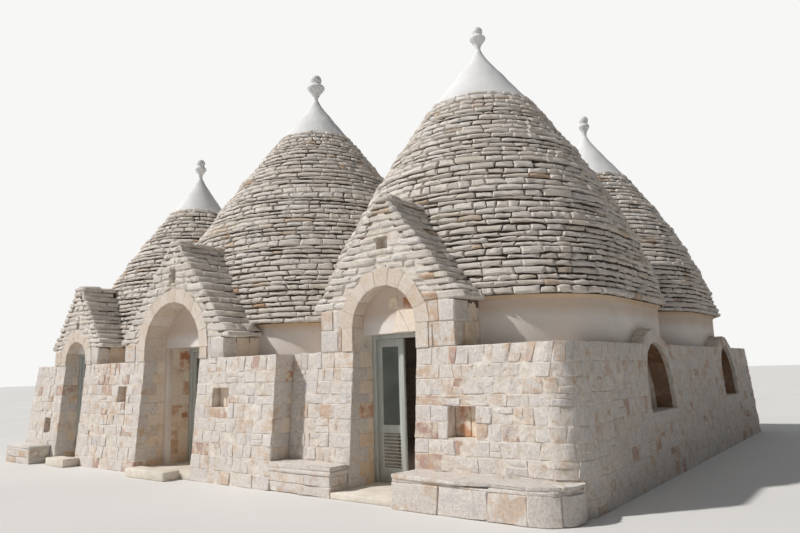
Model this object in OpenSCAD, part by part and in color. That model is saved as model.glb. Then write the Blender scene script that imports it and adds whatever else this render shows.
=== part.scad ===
// Four-coned dry-stone country house with arched porches.
// Frame: X runs right along the front, Y goes from the front to the back, Z is up.
// The origin is on the ground, in the middle of the main footprint.

/* [Outer walls] */
// How far the right walls' ground line stands out past the right cone's eaves
edge_r = 250; // [200:10:280]
// How far the left wall's ground line stands out past the left cone's eaves
edge_l = 150; // [130:10:180]
// Ground line of the front wall of the left and centre houses, ahead of the origin
front_left = 5550; // [5500:10:5600]
// Ground line of the front wall of the right house, set back behind the seat
front_right = 5200; // [5150:10:5250]
// Ground line of the wing's back wall, behind the origin
back_wing = 5650; // [5600:10:5800]
// Ground line of the centre house's back wall, behind the origin
back_centre = 1600; // [1550:10:1700]
// Ground line of the left house's back wall, ahead of the origin
back_left = 250; // [200:10:300]
// Height of the parapet
wall_h = 1900; // [1850:10:1950]
// Lean of every outer face from the ground to the parapet
batter = 150; // [100:10:180]
// Thickness of the parapet at its top
parapet_t = 300; // [250:10:320]
// Height of the terrace behind the parapet
deck_h = 1750; // [1700:10:1780]
// Thickness of the terrace's slabs
deck_t = 80; // [60:5:100]
// Radius of the rounded right corners at the ground
corner_r = 420; // [350:10:450]
// How far left of the right cone's middle the front steps back to form the seat
seat_in = 1700; // [1650:10:1750]
// Thickness of the centre house's left wall at the ground
side_c_t = 830; // [800:10:860]
// Thickness of the wing's left wall at the ground
side_w_t = 870; // [840:10:900]

/* [Cones] */
// Right cone: centre right of the centre cone's middle
span_right = 4300; // [4280:10:4320]
// Right cone: centre ahead of the origin
right_y = 2000; // [1980:10:2020]
// Right cone: half the width over the eaves
right_half = 2550; // [2520:10:2570]
// Right cone: height of the eaves
right_eave = 2550; // [2500:10:2600]
// Right cone: height of the plaster cap's foot
right_cap = 6230; // [6150:10:6300]
// Right cone: radius of the eaves' rounded corners
right_round = 1600; // [1550:10:1650]
// Right cone: radius of the plaster cap's foot
right_cap_r = 890; // [860:10:920]
// Right cone: height of the plaster cap up to its neck
right_cap_h = 1220; // [1150:10:1300]
// Right cone: width over the finial's cup
right_cup = 300; // [260:10:320]
// Right cone: height of the finial
right_top = 455; // [420:5:480]
// Centre cone: centre left of the origin
centre_x = 1000; // [980:10:1020]
// Centre cone: centre ahead of the origin
centre_y = 1900; // [1880:10:1920]
// Centre cone: half the width over the eaves
centre_half = 2900; // [2880:10:2920]
// Centre cone: height of the eaves
centre_eave = 2430; // [2400:10:2480]
// Centre cone: height of the plaster cap's foot
centre_cap = 6700; // [6650:10:6800]
// Centre cone: radius of the eaves' rounded corners
centre_round = 1700; // [1650:10:1750]
// Centre cone: radius of the plaster cap's foot
centre_cap_r = 735; // [700:5:760]
// Centre cone: height of the plaster cap up to its neck
centre_cap_h = 1020; // [960:10:1100]
// Centre cone: width over the finial's cup
centre_cup = 400; // [360:10:420]
// Centre cone: height of the finial
centre_top = 605; // [560:5:640]
// Left cone: centre left of the centre cone's middle
span_left = 2950; // [2940:10:2970]
// Left cone: centre ahead of the origin
left_y = 2840; // [2820:10:2860]
// Left cone: half the width over the eaves
left_half = 2000; // [1980:10:2010]
// Left cone: height of the eaves
left_eave = 2400; // [2370:10:2450]
// Left cone: height of the plaster cap's foot
left_cap = 5390; // [5350:10:5450]
// Left cone: radius of the eaves' rounded corners
left_round = 1150; // [1100:10:1200]
// Left cone: radius of the plaster cap's foot
left_cap_r = 560; // [530:10:590]
// Left cone: height of the plaster cap up to its neck
left_cap_h = 890; // [840:10:940]
// Left cone: width over the finial's cup
left_cup = 270; // [240:10:290]
// Left cone: height of the finial
left_top = 475; // [440:5:500]
// Back cone: centre right of the right cone's middle
span_back = 240; // [220:10:260]
// Back cone: centre behind the origin
back_y = 2460; // [2440:10:2480]
// Back cone: half the width over the eaves
back_half = 2260; // [2240:10:2280]
// Back cone: height of the eaves
back_eave = 2570; // [2530:10:2620]
// Back cone: height of the plaster cap's foot
back_cap = 5830; // [5780:10:5900]
// Back cone: radius of the eaves' rounded corners
back_round = 1500; // [1450:10:1550]
// Back cone: radius of the plaster cap's foot
back_cap_r = 790; // [760:10:820]
// Back cone: height of the plaster cap up to its neck
back_cap_h = 1120; // [1060:10:1180]
// Back cone: width over the finial's cup
back_cup = 250; // [220:10:270]
// Back cone: height of the finial
back_top = 500; // [460:5:530]
// How far the eaves stand out past the plastered drums
eave_out = 80; // [60:5:100]
// How far each band of a cone's slabs stands out past the foot of the next one
ledge = 40; // [30:5:50]
// Radius of the necks between the caps and the finials
neck_r = 45; // [40:1:50]
// Thickness of the plastered drums and of the cone masonry
shell_t = 400; // [360:10:420]

/* [Porches] */
// Middle of the right porch and doorway, right of the right cone's middle
door_r_off = 40; // [20:10:60]
// Clear width of the right doorway
door_r_w = 1100; // [1060:10:1140]
// Width of the right porch
porch_r_w = 2300; // [2250:10:2350]
// Right porch: height of its gable's feet
porch_r_foot = 2600; // [2570:10:2640]
// Right porch: height of its ridge
porch_r_peak = 4050; // [4000:10:4100]
// Right porch: height of its arch's centre
arch_r_z = 2230; // [2200:10:2260]
// Right porch: depth of its recess
recess_r = 220; // [200:10:240]
// Middle of the centre porch and doorway, left of the centre cone's middle
door_c_off = 60; // [40:10:80]
// Clear width of the centre porch arch
door_c_w = 1620; // [1580:10:1660]
// Width of the centre porch
porch_c_w = 2860; // [2800:10:2900]
// Centre porch: height of its gable's feet
porch_c_foot = 2320; // [2290:10:2350]
// Centre porch: height of its ridge
porch_c_peak = 3980; // [3930:10:4030]
// Centre porch: height of its arch's centre
arch_c_z = 2090; // [2060:10:2120]
// Centre porch: depth of its barrel
recess_c = 420; // [400:10:440]
// Middle of the left porch and doorway, left of the left cone's middle
door_l_off = 400; // [380:10:420]
// Clear width of the left doorway
door_l_w = 830; // [800:10:860]
// Width of the left porch
porch_l_w = 1710; // [1680:10:1740]
// Left porch: height of its gable's feet
porch_l_foot = 2320; // [2290:10:2350]
// Left porch: height of its ridge
porch_l_peak = 3500; // [3450:10:3550]
// Left porch: height of its arch's centre
arch_l_z = 1960; // [1940:10:1990]
// Left porch: depth of its recess
recess_l = 200; // [180:10:220]
// Height under the door heads
head_h = 2130; // [2100:10:2150]
// How far the porches run back from their fronts
porch_run = 2400; // [2350:50:2450]
// Thickness of the porch roofs
porch_roof_t = 120; // [100:10:140]

/* [Openings] */
// Width of the arched window recesses in the right wall
win_w = 1250; // [1200:10:1300]
// Height of the window sills
win_sill = 930; // [900:10:960]
// Height of the window arches' springing
win_spring = 1300; // [1280:10:1320]
// Depth of the window recess in front of the frame
win_in = 300; // [260:10:340]
// How far each side of the frame stands in from the recess
win_step = 150; // [130:10:170]
// Middle of the front window, ahead of the origin
win_f_y = 1800; // [1750:10:1850]
// Middle of the rear window, behind the origin
win_b_y = 3050; // [3000:10:3100]
// Right door: how far its frame stands behind the porch's recess
set_r = 190; // [150:10:220]
// Centre door: how far its frame stands behind the porch's barrel
set_c = 450; // [400:10:480]
// Left door: how far its frame stands behind the porch's recess
set_l = 70; // [50:10:90]
// Depth of the door frames
frame_d = 90; // [80:2:100]
// Thickness of a door leaf
leaf_t = 40; // [36:1:44]
// Face width of the door frames
frame_w = 60; // [50:1:70]

/* [Ground pieces] */
// Height of the floor inside
floor_t = 80; // [60:5:100]
// Height of the stone benches
bench_h = 400; // [380:10:420]
// Reach of the right bench in front of its wall
bench_d = 450; // [430:10:480]
// Width of the left bench
bench_l_w = 1000; // [950:10:1050]
// Reach of the left bench in front of its wall
bench_l_d = 400; // [380:10:430]
// Height of the left bench
bench_l_h = 340; // [320:10:360]
// How far the right threshold runs out in front of its wall
step_out = 350; // [320:10:380]
// Depth of the doorsteps
step_d = 300; // [280:10:330]
// Width of the centre doorstep
step_c_w = 1100; // [1050:10:1150]
// Height of the centre doorstep
step_c_h = 140; // [120:10:160]
// Width of the left doorstep
step_l_w = 700; // [660:10:720]
// Height of the left doorstep
step_l_h = 150; // [130:10:170]
// Depth of the niches in the front walls
niche_d = 250; // [200:10:280]

/* [Hidden] */
eps = 1;
far = 100000;     // higher than the house
gap = 1;          // mortar joint round a drum or cone where other masonry meets it
fit = 5;          // running room round every door leaf
swing = 2;        // what a leaf's free edge gains as it starts to turn
seat_h = deck_h - deck_t;   // top of the walls behind the parapet
inset = batter + parapet_t; // from the ground line to the parapet's inner face
right_x = span_right - centre_x;
left_x = centre_x + span_left;
back_x = right_x + span_back;
door_r_x = right_x + door_r_off;
door_c_x = centre_x + door_c_off;
door_l_x = left_x + door_l_off;
xl = -left_x - left_half - edge_l;
xr = right_x + right_half + edge_r;
yf = -front_left;
ya = -front_right;
step_x = right_x - seat_in;
room_l = -left_x - left_half + eave_out + shell_t;      // left room's left side
room_r = right_x + right_half - eave_out - shell_t;     // right room's right side
room_f = -centre_y - centre_half + eave_out + shell_t + 20; // front side of the other front rooms
room_fa = -right_y - right_half + eave_out + shell_t;   // front side of the right room
room_bl = -left_y + left_half - eave_out - shell_t;     // back side of the left room
room_bc = -centre_y + centre_half - eave_out - shell_t; // back side of the centre room
room_cl = -centre_x - centre_half + eave_out + shell_t; // left side of the centre room
room_dl = back_x - back_half + eave_out + shell_t + 40; // left side of the back room
room_dr = back_x + back_half - eave_out - shell_t - 40;
room_db = back_y + back_half - eave_out - shell_t - 40; // back side of the back room
split_y = 420;             // where the front part of the right wall ends
hood_w = 210;              // width of the stone hoods round the window arches
side_c = room_cl - side_c_t; // ground line of the centre house's left wall
side_w = room_dl - side_w_t; // ground line of the wing's left wall
pier_l = 650;              // pier where three of the rooms meet, left of the back room's side
pier_r = 250;              // the same pier, right of that side
pier_f = 100;              // the same pier, ahead of the origin
pier_x0 = room_dl - pier_l;
pier_x1 = room_dl + pier_r;
pier_y0 = -pier_f;
win_lip = 60;              // how far the frame's foot stands above the sill
niche_l = [860, 560, 280, 300];   // niches: from the wall's end or the door's middle, height,
niche_m = [-1440, 1190, 280, 280]; // width and height of the hole
niche_c = [1420, 1130, 400, 300];
niche_r = [1240, 790, 400, 380];
stile = 90;                // face width of a leaf's stiles
louvre_z = 200;            // foot and height of a leaf's louvred opening
louvre_h = 470;
slats = 10;
glass_z = 780;             // foot of a leaf's pane
rail_h = 110;              // top rail of a leaf
ra = door_r_w / 2;
rc = door_c_w / 2;
rl = door_l_w / 2;
reveal = 90;               // the centre doorway is narrower than its porch by this on each side
stone = [0.90, 0.86, 0.79];
slab = [0.80, 0.77, 0.71];
plaster = [0.90, 0.88, 0.83];
paint = [0.62, 0.66, 0.64];
pane = [0.35, 0.42, 0.42, 0.5];

// A cone's data: centre, half width, corner radius, eave height, cap foot height, cap radius
A = [[right_x, -right_y], right_half, right_round, right_eave, right_cap, right_cap_r];
B = [[-centre_x, -centre_y], centre_half, centre_round, centre_eave, centre_cap, centre_cap_r];
C = [[-left_x, -left_y], left_half, left_round, left_eave, left_cap, left_cap_r];
D = [[back_x, back_y], back_half, back_round, back_eave, back_cap, back_cap_r];
stages = 7;                // rings that a cone's masonry is blended through
bulge = 1.25;              // over 1 the cones bulge, at 1 their sides are straight

// Solid block between four vertical planes, the flagged outer faces leaning inwards,
// with a parapet along each flagged side and a seat for the terrace and drums behind it.
module block(x0, x1, y0, y1, l = 0, r = 0, f = 0, b = 0) {
  difference() {
    intersection() {
      translate([0, y1 + 5, 0]) rotate([90, 0, 0]) linear_extrude(y1 - y0 + 10)
        polygon([[x0, 0], [x1, 0], [x1 - r * batter, wall_h], [x0 + l * batter, wall_h]]);
      translate([x0 - 5, 0, 0]) rotate([90, 0, 90]) linear_extrude(x1 - x0 + 10)
        polygon([[y0, 0], [y1, 0], [y1 - b * batter, wall_h], [y0 + f * batter, wall_h]]);
    }
    translate([x0 + (l ? inset : -50), y0 + (f ? inset : -50), seat_h])
      cube([x1 - x0 - (l ? inset : -50) - (r ? inset : -50),
            y1 - y0 - (f ? inset : -50) - (b ? inset : -50), wall_h]);
    drum_seats();
  }
}
// Room that the drums take on top of the walls
module drum_seats() for (c = [A, B, C, D]) drum_solid(c, eave_out, seat_h, wall_h + 1000);

// Square plan with rounded corners
module plan(half, r, n = 48) {
  square([2 * half, 2 * (half - r)], center = true);
  square([2 * (half - r), 2 * half], center = true);
  for (i = [-1, 1], j = [-1, 1]) translate([i * (half - r), j * (half - r)]) circle(r, $fn = n);
}
module drum_solid(c, inset, z0, z1) {
  translate([c[0][0], c[0][1], z0]) linear_extrude(z1 - z0) plan(c[1] - inset, c[2] - inset, 192);
}
// Squared eaves blending into a round top, in bulging stages.
// reach is the distance from the middle to a rounded corner, k how square a ring still is.
function reach(c) = (c[1] - c[2]) * sqrt(2) + c[2];
module ring(c, i, inset, drop, out = 0) {
  t = pow(i / stages, bulge);
  k = pow(1 - min(1, 1.6 * t), 2);
  big = reach(c) + (c[5] - reach(c)) * t - inset;
  half = big - (reach(c) - c[1]) * k;
  r = (half * sqrt(2) - big) / (sqrt(2) - 1);
  translate([0, 0, c[3] + (c[4] - drop - eps - c[3]) * i / stages]) linear_extrude(eps)
    plan(half + out, r + out - 0.01);
}
// Each band but the last stands out by out over the foot of the next, as the slabs step back.
// Only the bands that start below top are made.
module cone_solid(c, inset, drop, rise = 0, out = 0, top = far) {
  translate([c[0][0], c[0][1], -rise]) for (i = [0:stages - 1])
    if (c[3] + (c[4] - c[3]) * i / stages < top) hull() {
      ring(c, i, inset, drop);
      ring(c, i + 1, inset, drop, i + 1 < stages ? out : 0);
    }
}
// A drum and its cone up to top, a joint wider than they are
module outer(c, top = far) {
  drum_solid(c, eave_out - gap, seat_h - 10, c[3] + eps);
  cone_solid(c, -gap, 0, out = ledge, top = top);
}
// The hollow of a drum alone, and of a drum with its cone
module hollow(c) drum_solid(c, eave_out + shell_t, seat_h - 10, c[3] + 100);
module inner(c) {
  drum_solid(c, eave_out + shell_t, seat_h - 10, c[3] + eps);
  cone_solid(c, eave_out + shell_t, 450);
}
module doorway(x, w) {
  translate([x - w / 2, yf - 150, -10]) cube([w, room_fa - yf + 420, head_h + 10]);
}
module doorways() {
  doorway(door_r_x, door_r_w);
  doorway(-door_c_x, door_c_w - 2 * reveal);
  doorway(-door_l_x, door_l_w);
}
// Small square niche n, measured from x, in a front wall whose ground line is y
module niche(x, y, n) {
  translate([x + n[0] - n[2] / 2, y - 50, n[1]]) cube([n[2], batter + niche_d, n[3]]);
}
// Narrower part of the centre doorway behind its barrel, side -1 is left
module jamb_return(side) {
  translate([-door_c_x + (side < 0 ? -rc - 10 : rc - reveal), yf + batter + recess_c, 0])
    cube([reveal + 10, room_f - yf - batter - recess_c, seat_h]);
}

module front_wall_left() color(stone) difference() {
  block(xl, -door_l_x - rl, yf, room_f, l = 1, f = 1);
  niche(xl, yf, niche_l);
}
module front_wall_middle() color(stone) {
  difference() {
    block(-door_l_x + rl, -door_c_x - rc, yf, room_f, f = 1);
    niche(-door_c_x, yf, niche_m);
  }
  jamb_return(-1);
}
module front_wall_centre() color(stone) {
  difference() {
    union() {
      block(-door_c_x + rc, step_x, yf, room_f, f = 1);
      translate([step_x - parapet_t, yf + inset - 50, seat_h - 10])
        cube([parapet_t, ya - yf + 50, wall_h - seat_h + 10]);
    }
    niche(-door_c_x, yf, niche_c);
  }
  jamb_return(1);
}
module front_wall_seat() color(stone)
  block(step_x, door_r_x - ra, ya, room_fa, f = 1);
module round_corner(x, y) {
  translate([x, y, 0]) cylinder(h = wall_h, r1 = corner_r, r2 = corner_r - batter, $fn = 64);
}
module right_front_block() {
  difference() {
    block(door_r_x + ra, xr, ya, room_fa, f = 1, r = 1);
    translate([xr - corner_r, ya - 10, -10]) cube([corner_r + 10, corner_r + 10, wall_h + 20]);
  }
  round_corner(xr - corner_r, ya + corner_r);
}
module front_wall_right() color(stone) difference() {
  right_front_block();
  niche(door_r_x, ya, niche_r);
}
// Arch-topped prism running along X
module arch_x(x0, x1, y, w, z0, zs) {
  translate([x0, y - w / 2, z0]) cube([x1 - x0, w, zs - z0]);
  intersection() {
    translate([x0, y, zs]) rotate([0, 90, 0]) cylinder(r = w / 2, h = x1 - x0, $fn = 64);
    translate([x0 - 1, y - w, zs - 1]) cube([x1 - x0 + 2, 2 * w, w]);
  }
}
// Recess and opening of an arched window whose middle is at y
module window_hole(y) {
  arch_x(xr - batter - win_in, xr + 50, y, win_w, win_sill, win_spring);
  arch_x(room_dr - 50, xr, y, win_w - 2 * win_step, win_sill + win_lip, win_spring);
}
module right_wall(y0, y1, xin, yw) difference() {
  union() {
    block(xin, xr, y0, y1, r = 1);
    intersection() {
      arch_x(xr - inset, xr, yw, win_w + 2 * hood_w, win_spring - 200, win_spring);
      translate([0, y1, 0]) rotate([90, 0, 0]) linear_extrude(y1 - y0)
        polygon([[xin, 0], [xr, 0], [xr - batter * 1.2, wall_h * 1.2], [xin, wall_h * 1.2]]);
    }
  }
  drum_seats();
  window_hole(yw);
}
module right_wall_front() color(stone) right_wall(room_fa, split_y, room_r, -win_f_y);
module right_wall_back() color(stone) right_wall(split_y, room_db, room_dr, win_b_y);
module back_wall_wing() color(stone) {
  difference() {
    block(side_w, xr, room_db, back_wing, l = 1, r = 1, b = 1);
    translate([xr - corner_r, back_wing - corner_r, -10])
      cube([corner_r + 10, corner_r + 10, wall_h + 20]);
  }
  round_corner(xr - corner_r, back_wing - corner_r);
}
// The wing's left wall runs forward into the re-entrant corner and ends in a pier
module left_wall_wing() color(stone) {
  block(side_w, room_dl, back_centre - inset, room_db, l = 1);
  translate([pier_x0, pier_y0, 0]) cube([pier_x1 - pier_x0, back_centre - inset - pier_y0, seat_h]);
}
module back_wall_centre() color(stone) difference() {
  block(side_c, pier_x0, room_bc, back_centre, l = 1, b = 1);
  left_wall_wing();
}
module left_wall_centre() color(stone)
  block(side_c, room_cl, -back_left, room_bc, l = 1);
module back_wall_left() color(stone)
  block(xl, room_cl, room_bl, -back_left, l = 1, b = 1);
module left_wall() color(stone)
  block(xl, room_l, room_f, room_bl, l = 1);

// Flat roof between the parapets, the drums and the porches
module terrace() color(plaster) difference() {
  translate([0, 0, seat_h]) linear_extrude(deck_t) {
    translate([xl + inset, yf + inset])
      square([step_x - parapet_t - xl - inset, -back_left - yf - 2 * inset]);
    translate([side_c + inset, -back_left])
      square([pier_x1 - side_c - inset, back_centre - inset + back_left]);
    translate([step_x - parapet_t - eps, ya + inset])
      square([xr - inset - step_x + parapet_t + eps, back_centre - ya - 2 * inset]);
    translate([side_w + inset, back_centre - inset - eps])
      square([xr - side_w - 2 * inset, back_wing - back_centre + eps]);
  }
  drum_seats();
  round_corner(xr - corner_r, ya + corner_r);
  round_corner(xr - corner_r, back_wing - corner_r);
  for (p = [PR, PC, PL])
    translate([p[0] - p[1] / 2, p[4], 0]) cube([p[1], porch_run, wall_h]);
}

module drum(c) color(plaster) difference() {
  drum_solid(c, eave_out, seat_h, c[3]);
  hollow(c);
  doorways();
}
module drum_right() color(plaster) difference() {
  drum(A);
  hollow(B); hollow(D); window_hole(-win_f_y);
}
module drum_centre() color(plaster) difference() {
  drum(B);
  hollow(C); drum_solid(A, eave_out, seat_h - 10, B[3] + 10);
}
module drum_left() color(plaster) difference() {
  drum(C);
  drum_solid(B, eave_out, seat_h - 10, C[3] + 10);
}
module drum_back() color(plaster) difference() {
  drum(D);
  drum_solid(A, eave_out, seat_h - 10, D[3] + 10);
  drum_solid(A, 0, A[3] - eps, D[3] + 10);
  window_hole(win_b_y);
}
module cone(c) color(slab) difference() {
  cone_solid(c, 0, 0, out = ledge);
  cone_solid(c, eave_out + shell_t, 450, 1);
}
module cone_right() color(slab) difference() { cone(A); inner(B); inner(D); }
module cone_centre() color(slab) difference() { cone(B); inner(C); outer(A); }
module cone_left() color(slab) difference() { cone(C); outer(B); }
module cone_back() color(slab) difference() { cone(D); outer(A); }

// Plaster cap of height h, its sides straightening and then sweeping up into a thin neck
module cap(c, h) {
  r = c[5] + 20;
  translate([c[0][0], c[0][1], c[4]]) rotate_extrude($fn = 64)
    polygon(concat([[0, 0], [r + 5, 0], [r, 40]],
                   [for (i = [1:8]) [r * pow(1 - i / 8, 1.1) + neck_r * i / 8, h * i / 8]], [[0, h]]));
}
module caps() color(plaster) {
  cap(A, right_cap_h); cap(B, centre_cap_h); cap(C, left_cap_h); cap(D, back_cap_h);
}
// Goblet and ball on the neck of a cap of height h, its cup cup_w wide, top high in all
module finial(c, h, cup_w, top) {
  w = cup_w / 2;
  translate([c[0][0], c[0][1], c[4] + h]) {
    rotate_extrude($fn = 48)
      polygon([[0, 0], [neck_r, 0], [neck_r * 1.1, top * 0.06], [w * 0.55, top * 0.21], [w * 0.86, top * 0.34],
               [w, top * 0.43], [w, top * 0.47], [w * 0.72, top * 0.56], [0, top * 0.56]]);
    translate([0, 0, top * 0.77]) sphere(r = top * 0.23, $fn = 48);
  }
}
module finials() color(plaster) {
  finial(A, right_cap_h, right_cup, right_top);
  finial(B, centre_cap_h, centre_cup, centre_top);
  finial(C, left_cap_h, left_cup, left_top);
  finial(D, back_cap_h, back_cup, back_top);
}

// Porch data: middle, width, foot of the gable, peak, front face, opening, arch centre height,
// recess depth, ring depth, cone
PR = [door_r_x, porch_r_w, porch_r_foot, porch_r_peak, ya + batter, door_r_w, arch_r_z,
      recess_r, recess_r - 20, A];
PC = [-door_c_x, porch_c_w, porch_c_foot, porch_c_peak, yf + batter, door_c_w, arch_c_z,
      recess_c, recess_c - 140, B];
PL = [-door_l_x, porch_l_w, porch_l_foot, porch_l_peak, yf + batter, door_l_w, arch_l_z,
      recess_l, recess_l - 40, C];
module gable(p, t, y0, y1, z0) {
  w = p[1] / 2; s = (p[3] - p[2]) / w; d = t * sqrt(1 + s * s);
  translate([p[0], y1, 0]) rotate([90, 0, 0]) linear_extrude(y1 - y0)
    polygon([[-w, z0], [w, z0], [w, p[2] - d], [0, p[3] - d], [-w, p[2] - d]]);
}
module arch_y(p, grow, y0, y1, z0) {
  r = p[5] / 2 + grow;
  translate([p[0] - r, y0, z0]) cube([2 * r, y1 - y0, p[6] - z0]);
  intersection() {
    translate([p[0], y1, p[6]]) rotate([90, 0, 0]) cylinder(r = r, h = y1 - y0, $fn = 64);
    translate([p[0] - 2 * r, y0 - 1, p[6] - 1]) cube([4 * r, y1 - y0 + 2, 2 * r]);
  }
}
module porch(p, vent_z, vw, vh) color(stone) difference() {
  union() {
    gable(p, porch_roof_t, p[4], p[4] + parapet_t, wall_h);
    gable(p, porch_roof_t, p[4] + parapet_t, p[4] + porch_run, seat_h);
  }
  outer(p[9], p[3]);
  doorways();
  arch_y(p, 0, p[4] - 10, p[4] + p[7] + 150, seat_h - 10);
  arch_y(p, 200, p[4] - 30, p[4] + p[8], wall_h);
  translate([p[0] - vw / 2, p[4] - 10, vent_z]) cube([vw, 150, vh]);
}
module porch_right() porch(PR, porch_r_peak - 760, 200, 170);
module porch_centre() porch(PC, porch_c_peak - 750, 140, 260);
module porch_left() porch(PL, porch_l_peak - 880, 130, 130);
module porch_roof(p) color(slab) difference() {
  w = p[1] / 2; s = (p[3] - p[2]) / w; d = porch_roof_t * sqrt(1 + s * s);
  translate([p[0], p[4] + porch_run, 0]) rotate([90, 0, 0]) linear_extrude(porch_run)
    polygon([[-w, p[2] - d], [0, p[3] - d], [w, p[2] - d], [w, p[2]], [0, p[3]], [-w, p[2]]]);
  outer(p[9], p[3]);
}
module porch_roof_right() porch_roof(PR);
module porch_roof_centre() porch_roof(PC);
module porch_roof_left() porch_roof(PL);
module arch_ring(p) difference() {
  arch_y(p, 200, p[4] - 15, p[4] + p[8], wall_h);
  arch_y(p, 0, p[4] - 30, p[4] + p[8] + 10, wall_h - 10);
}
module arch_rings() color(plaster) { arch_ring(PR); arch_ring(PC); arch_ring(PL); }
module tympanum(p) difference() {
  arch_y(p, 0, p[4] + p[7], p[4] + p[7] + 150, seat_h);
  doorways();
}
module tympanums() color(plaster) { tympanum(PR); tympanum(PC); tympanum(PL); }

// Door frame between the reveals, its front at yd
module door_frame(x, w, yd) color(paint) difference() {
  translate([x - w / 2, yd, floor_t]) cube([w, frame_d, head_h - floor_t]);
  translate([x - w / 2 + frame_w, yd - 10, floor_t - 10])
    cube([w - 2 * frame_w, frame_d + 20, head_h - floor_t - frame_w + 10]);
}
yd_r = ya + batter + recess_r + set_r;
yd_c = yf + batter + recess_c + set_c;
yd_l = yf + batter + recess_l + set_l;
module door_frames() {
  door_frame(door_r_x, door_r_w, yd_r);
  door_frame(-door_c_x, door_c_w - 2 * reveal, yd_c);
  door_frame(-door_l_x, door_l_w, yd_l);
}
// Leaf with a tall glazed opening and a louvred panel, hinge edge at the origin, reaching +X
module leaf(w) color(paint) {
  h = head_h - floor_t - frame_w - 2 * fit;
  open_w = w - 2 * stile;
  pane_h = h - glass_z - rail_h;
  difference() {
    cube([w, leaf_t, h]);
    translate([stile, -1, glass_z]) cube([open_w, leaf_t + 2, pane_h]);
    translate([stile, -1, louvre_z]) cube([open_w, leaf_t + 2, louvre_h]);
  }
  translate([stile - 5, leaf_t / 2 - 4, glass_z - 5]) cube([open_w + 10, 8, pane_h + 10]);
  for (i = [0:slats - 1])
    translate([stile - 5, leaf_t / 2, louvre_z + 22 + i * (louvre_h - 5) / slats]) rotate([-35, 0, 0])
      translate([0, -15, -5]) cube([open_w + 10, 30, 10]);
}
leaf_r = door_r_w / 2 - frame_w - 1.5 * fit - swing;
leaf_c = door_c_w / 2 - reveal - frame_w - 1.5 * fit - swing;
leaf_l = door_l_w - 2 * frame_w - 2 * fit - swing;
leaf_z = floor_t + fit;
leaf_in = 30;     // from a frame's front to its leaves
// Closed leaf beside the jamb at x, hung on its left edge or on its right edge
module leaf_on_left(x, yd, w) translate([x + frame_w + fit, yd + leaf_in, leaf_z]) leaf(w);
module leaf_on_right(x, yd, w) translate([x - frame_w - fit, yd + leaf_in, leaf_z])
  mirror([1, 0, 0]) leaf(w);
module door_right_leaf_left() leaf_on_left(door_r_x - ra, yd_r, leaf_r);
// This leaf stands open, a quarter turn about its inner edge
module door_right_leaf_right()
  translate([door_r_x + ra - frame_w - fit, yd_r + leaf_in + leaf_t, leaf_z]) rotate([0, 0, -90])
    translate([0, -leaf_t, 0]) mirror([1, 0, 0]) leaf(leaf_r);
module door_centre_leaf_left() leaf_on_left(-door_c_x - rc + reveal, yd_c, leaf_c);
module door_centre_leaf_right() leaf_on_right(-door_c_x + rc - reveal, yd_c, leaf_c);
module door_left_leaf() leaf_on_left(-door_l_x - rl, yd_l, leaf_l);

xw = xr - batter - win_in;
module window_frame(y) difference() {
  arch_x(xw - frame_w, xw, y, win_w - 2 * win_step, win_sill + win_lip, win_spring);
  arch_x(xw - frame_w - 10, xw + 10, y, win_w - 2 * win_step - 2 * frame_w,
         win_sill + win_lip + frame_w, win_spring);
}
module window_frames() color(paint) { window_frame(-win_f_y); window_frame(win_b_y); }
module window_glass() color(pane) for (y = [-win_f_y, win_b_y])
  arch_x(xw - 36, xw - 28, y, win_w - 2 * win_step - 2 * frame_w,
         win_sill + win_lip + frame_w, win_spring);

module floor() color(stone) difference() {
  union() {
    translate([room_l, room_f, 0]) cube([room_cl - room_l, room_bl - room_f, floor_t]);
    translate([room_cl, room_f, 0]) cube([step_x - room_cl, room_bc - room_f, floor_t]);
    translate([step_x, room_fa, 0]) cube([room_r - step_x, split_y - room_fa, floor_t]);
    translate([room_dl, 0, 0]) cube([room_dr - room_dl, room_db, floor_t]);
  }
  left_wall_wing();
}
module thresholds() color(stone) {
  translate([door_r_x - ra, ya - step_out, 0]) cube([door_r_w, room_fa - ya + step_out, floor_t]);
  difference() {
    translate([-door_c_x - rc, yf, 0]) cube([door_c_w, room_f - yf, floor_t]);
    jamb_return(-1);
    jamb_return(1);
  }
  translate([-door_l_x - rl, yf, 0]) cube([door_l_w, room_f - yf, floor_t]);
}
module benches() color(stone) {
  difference() {
    union() {
      translate([door_r_x + ra, ya - bench_d, 0])
        cube([xr - bench_d - door_r_x - ra, bench_d + 200, bench_h]);
      translate([xr - bench_d, ya, 0]) cylinder(h = bench_h, r = bench_d, $fn = 64);
    }
    right_front_block();
  }
  difference() {
    translate([step_x, yf, 0]) cube([door_r_x - ra - step_x, ya - yf + 100, bench_h]);
    block(step_x - 50, door_r_x, ya, room_fa, f = 1);
  }
  difference() {
    translate([xl + 150, yf - bench_l_d, 0]) cube([bench_l_w, bench_l_d + 100, bench_l_h]);
    block(xl - 500, 0, yf, room_f, f = 1);
  }
}
module steps() color(stone) {
  translate([-door_c_x - step_c_w / 2, yf - step_d, 0]) cube([step_c_w, step_d, step_c_h]);
  translate([-door_l_x - 100, yf - step_d, 0]) cube([step_l_w, step_d, step_l_h]);
}

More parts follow.
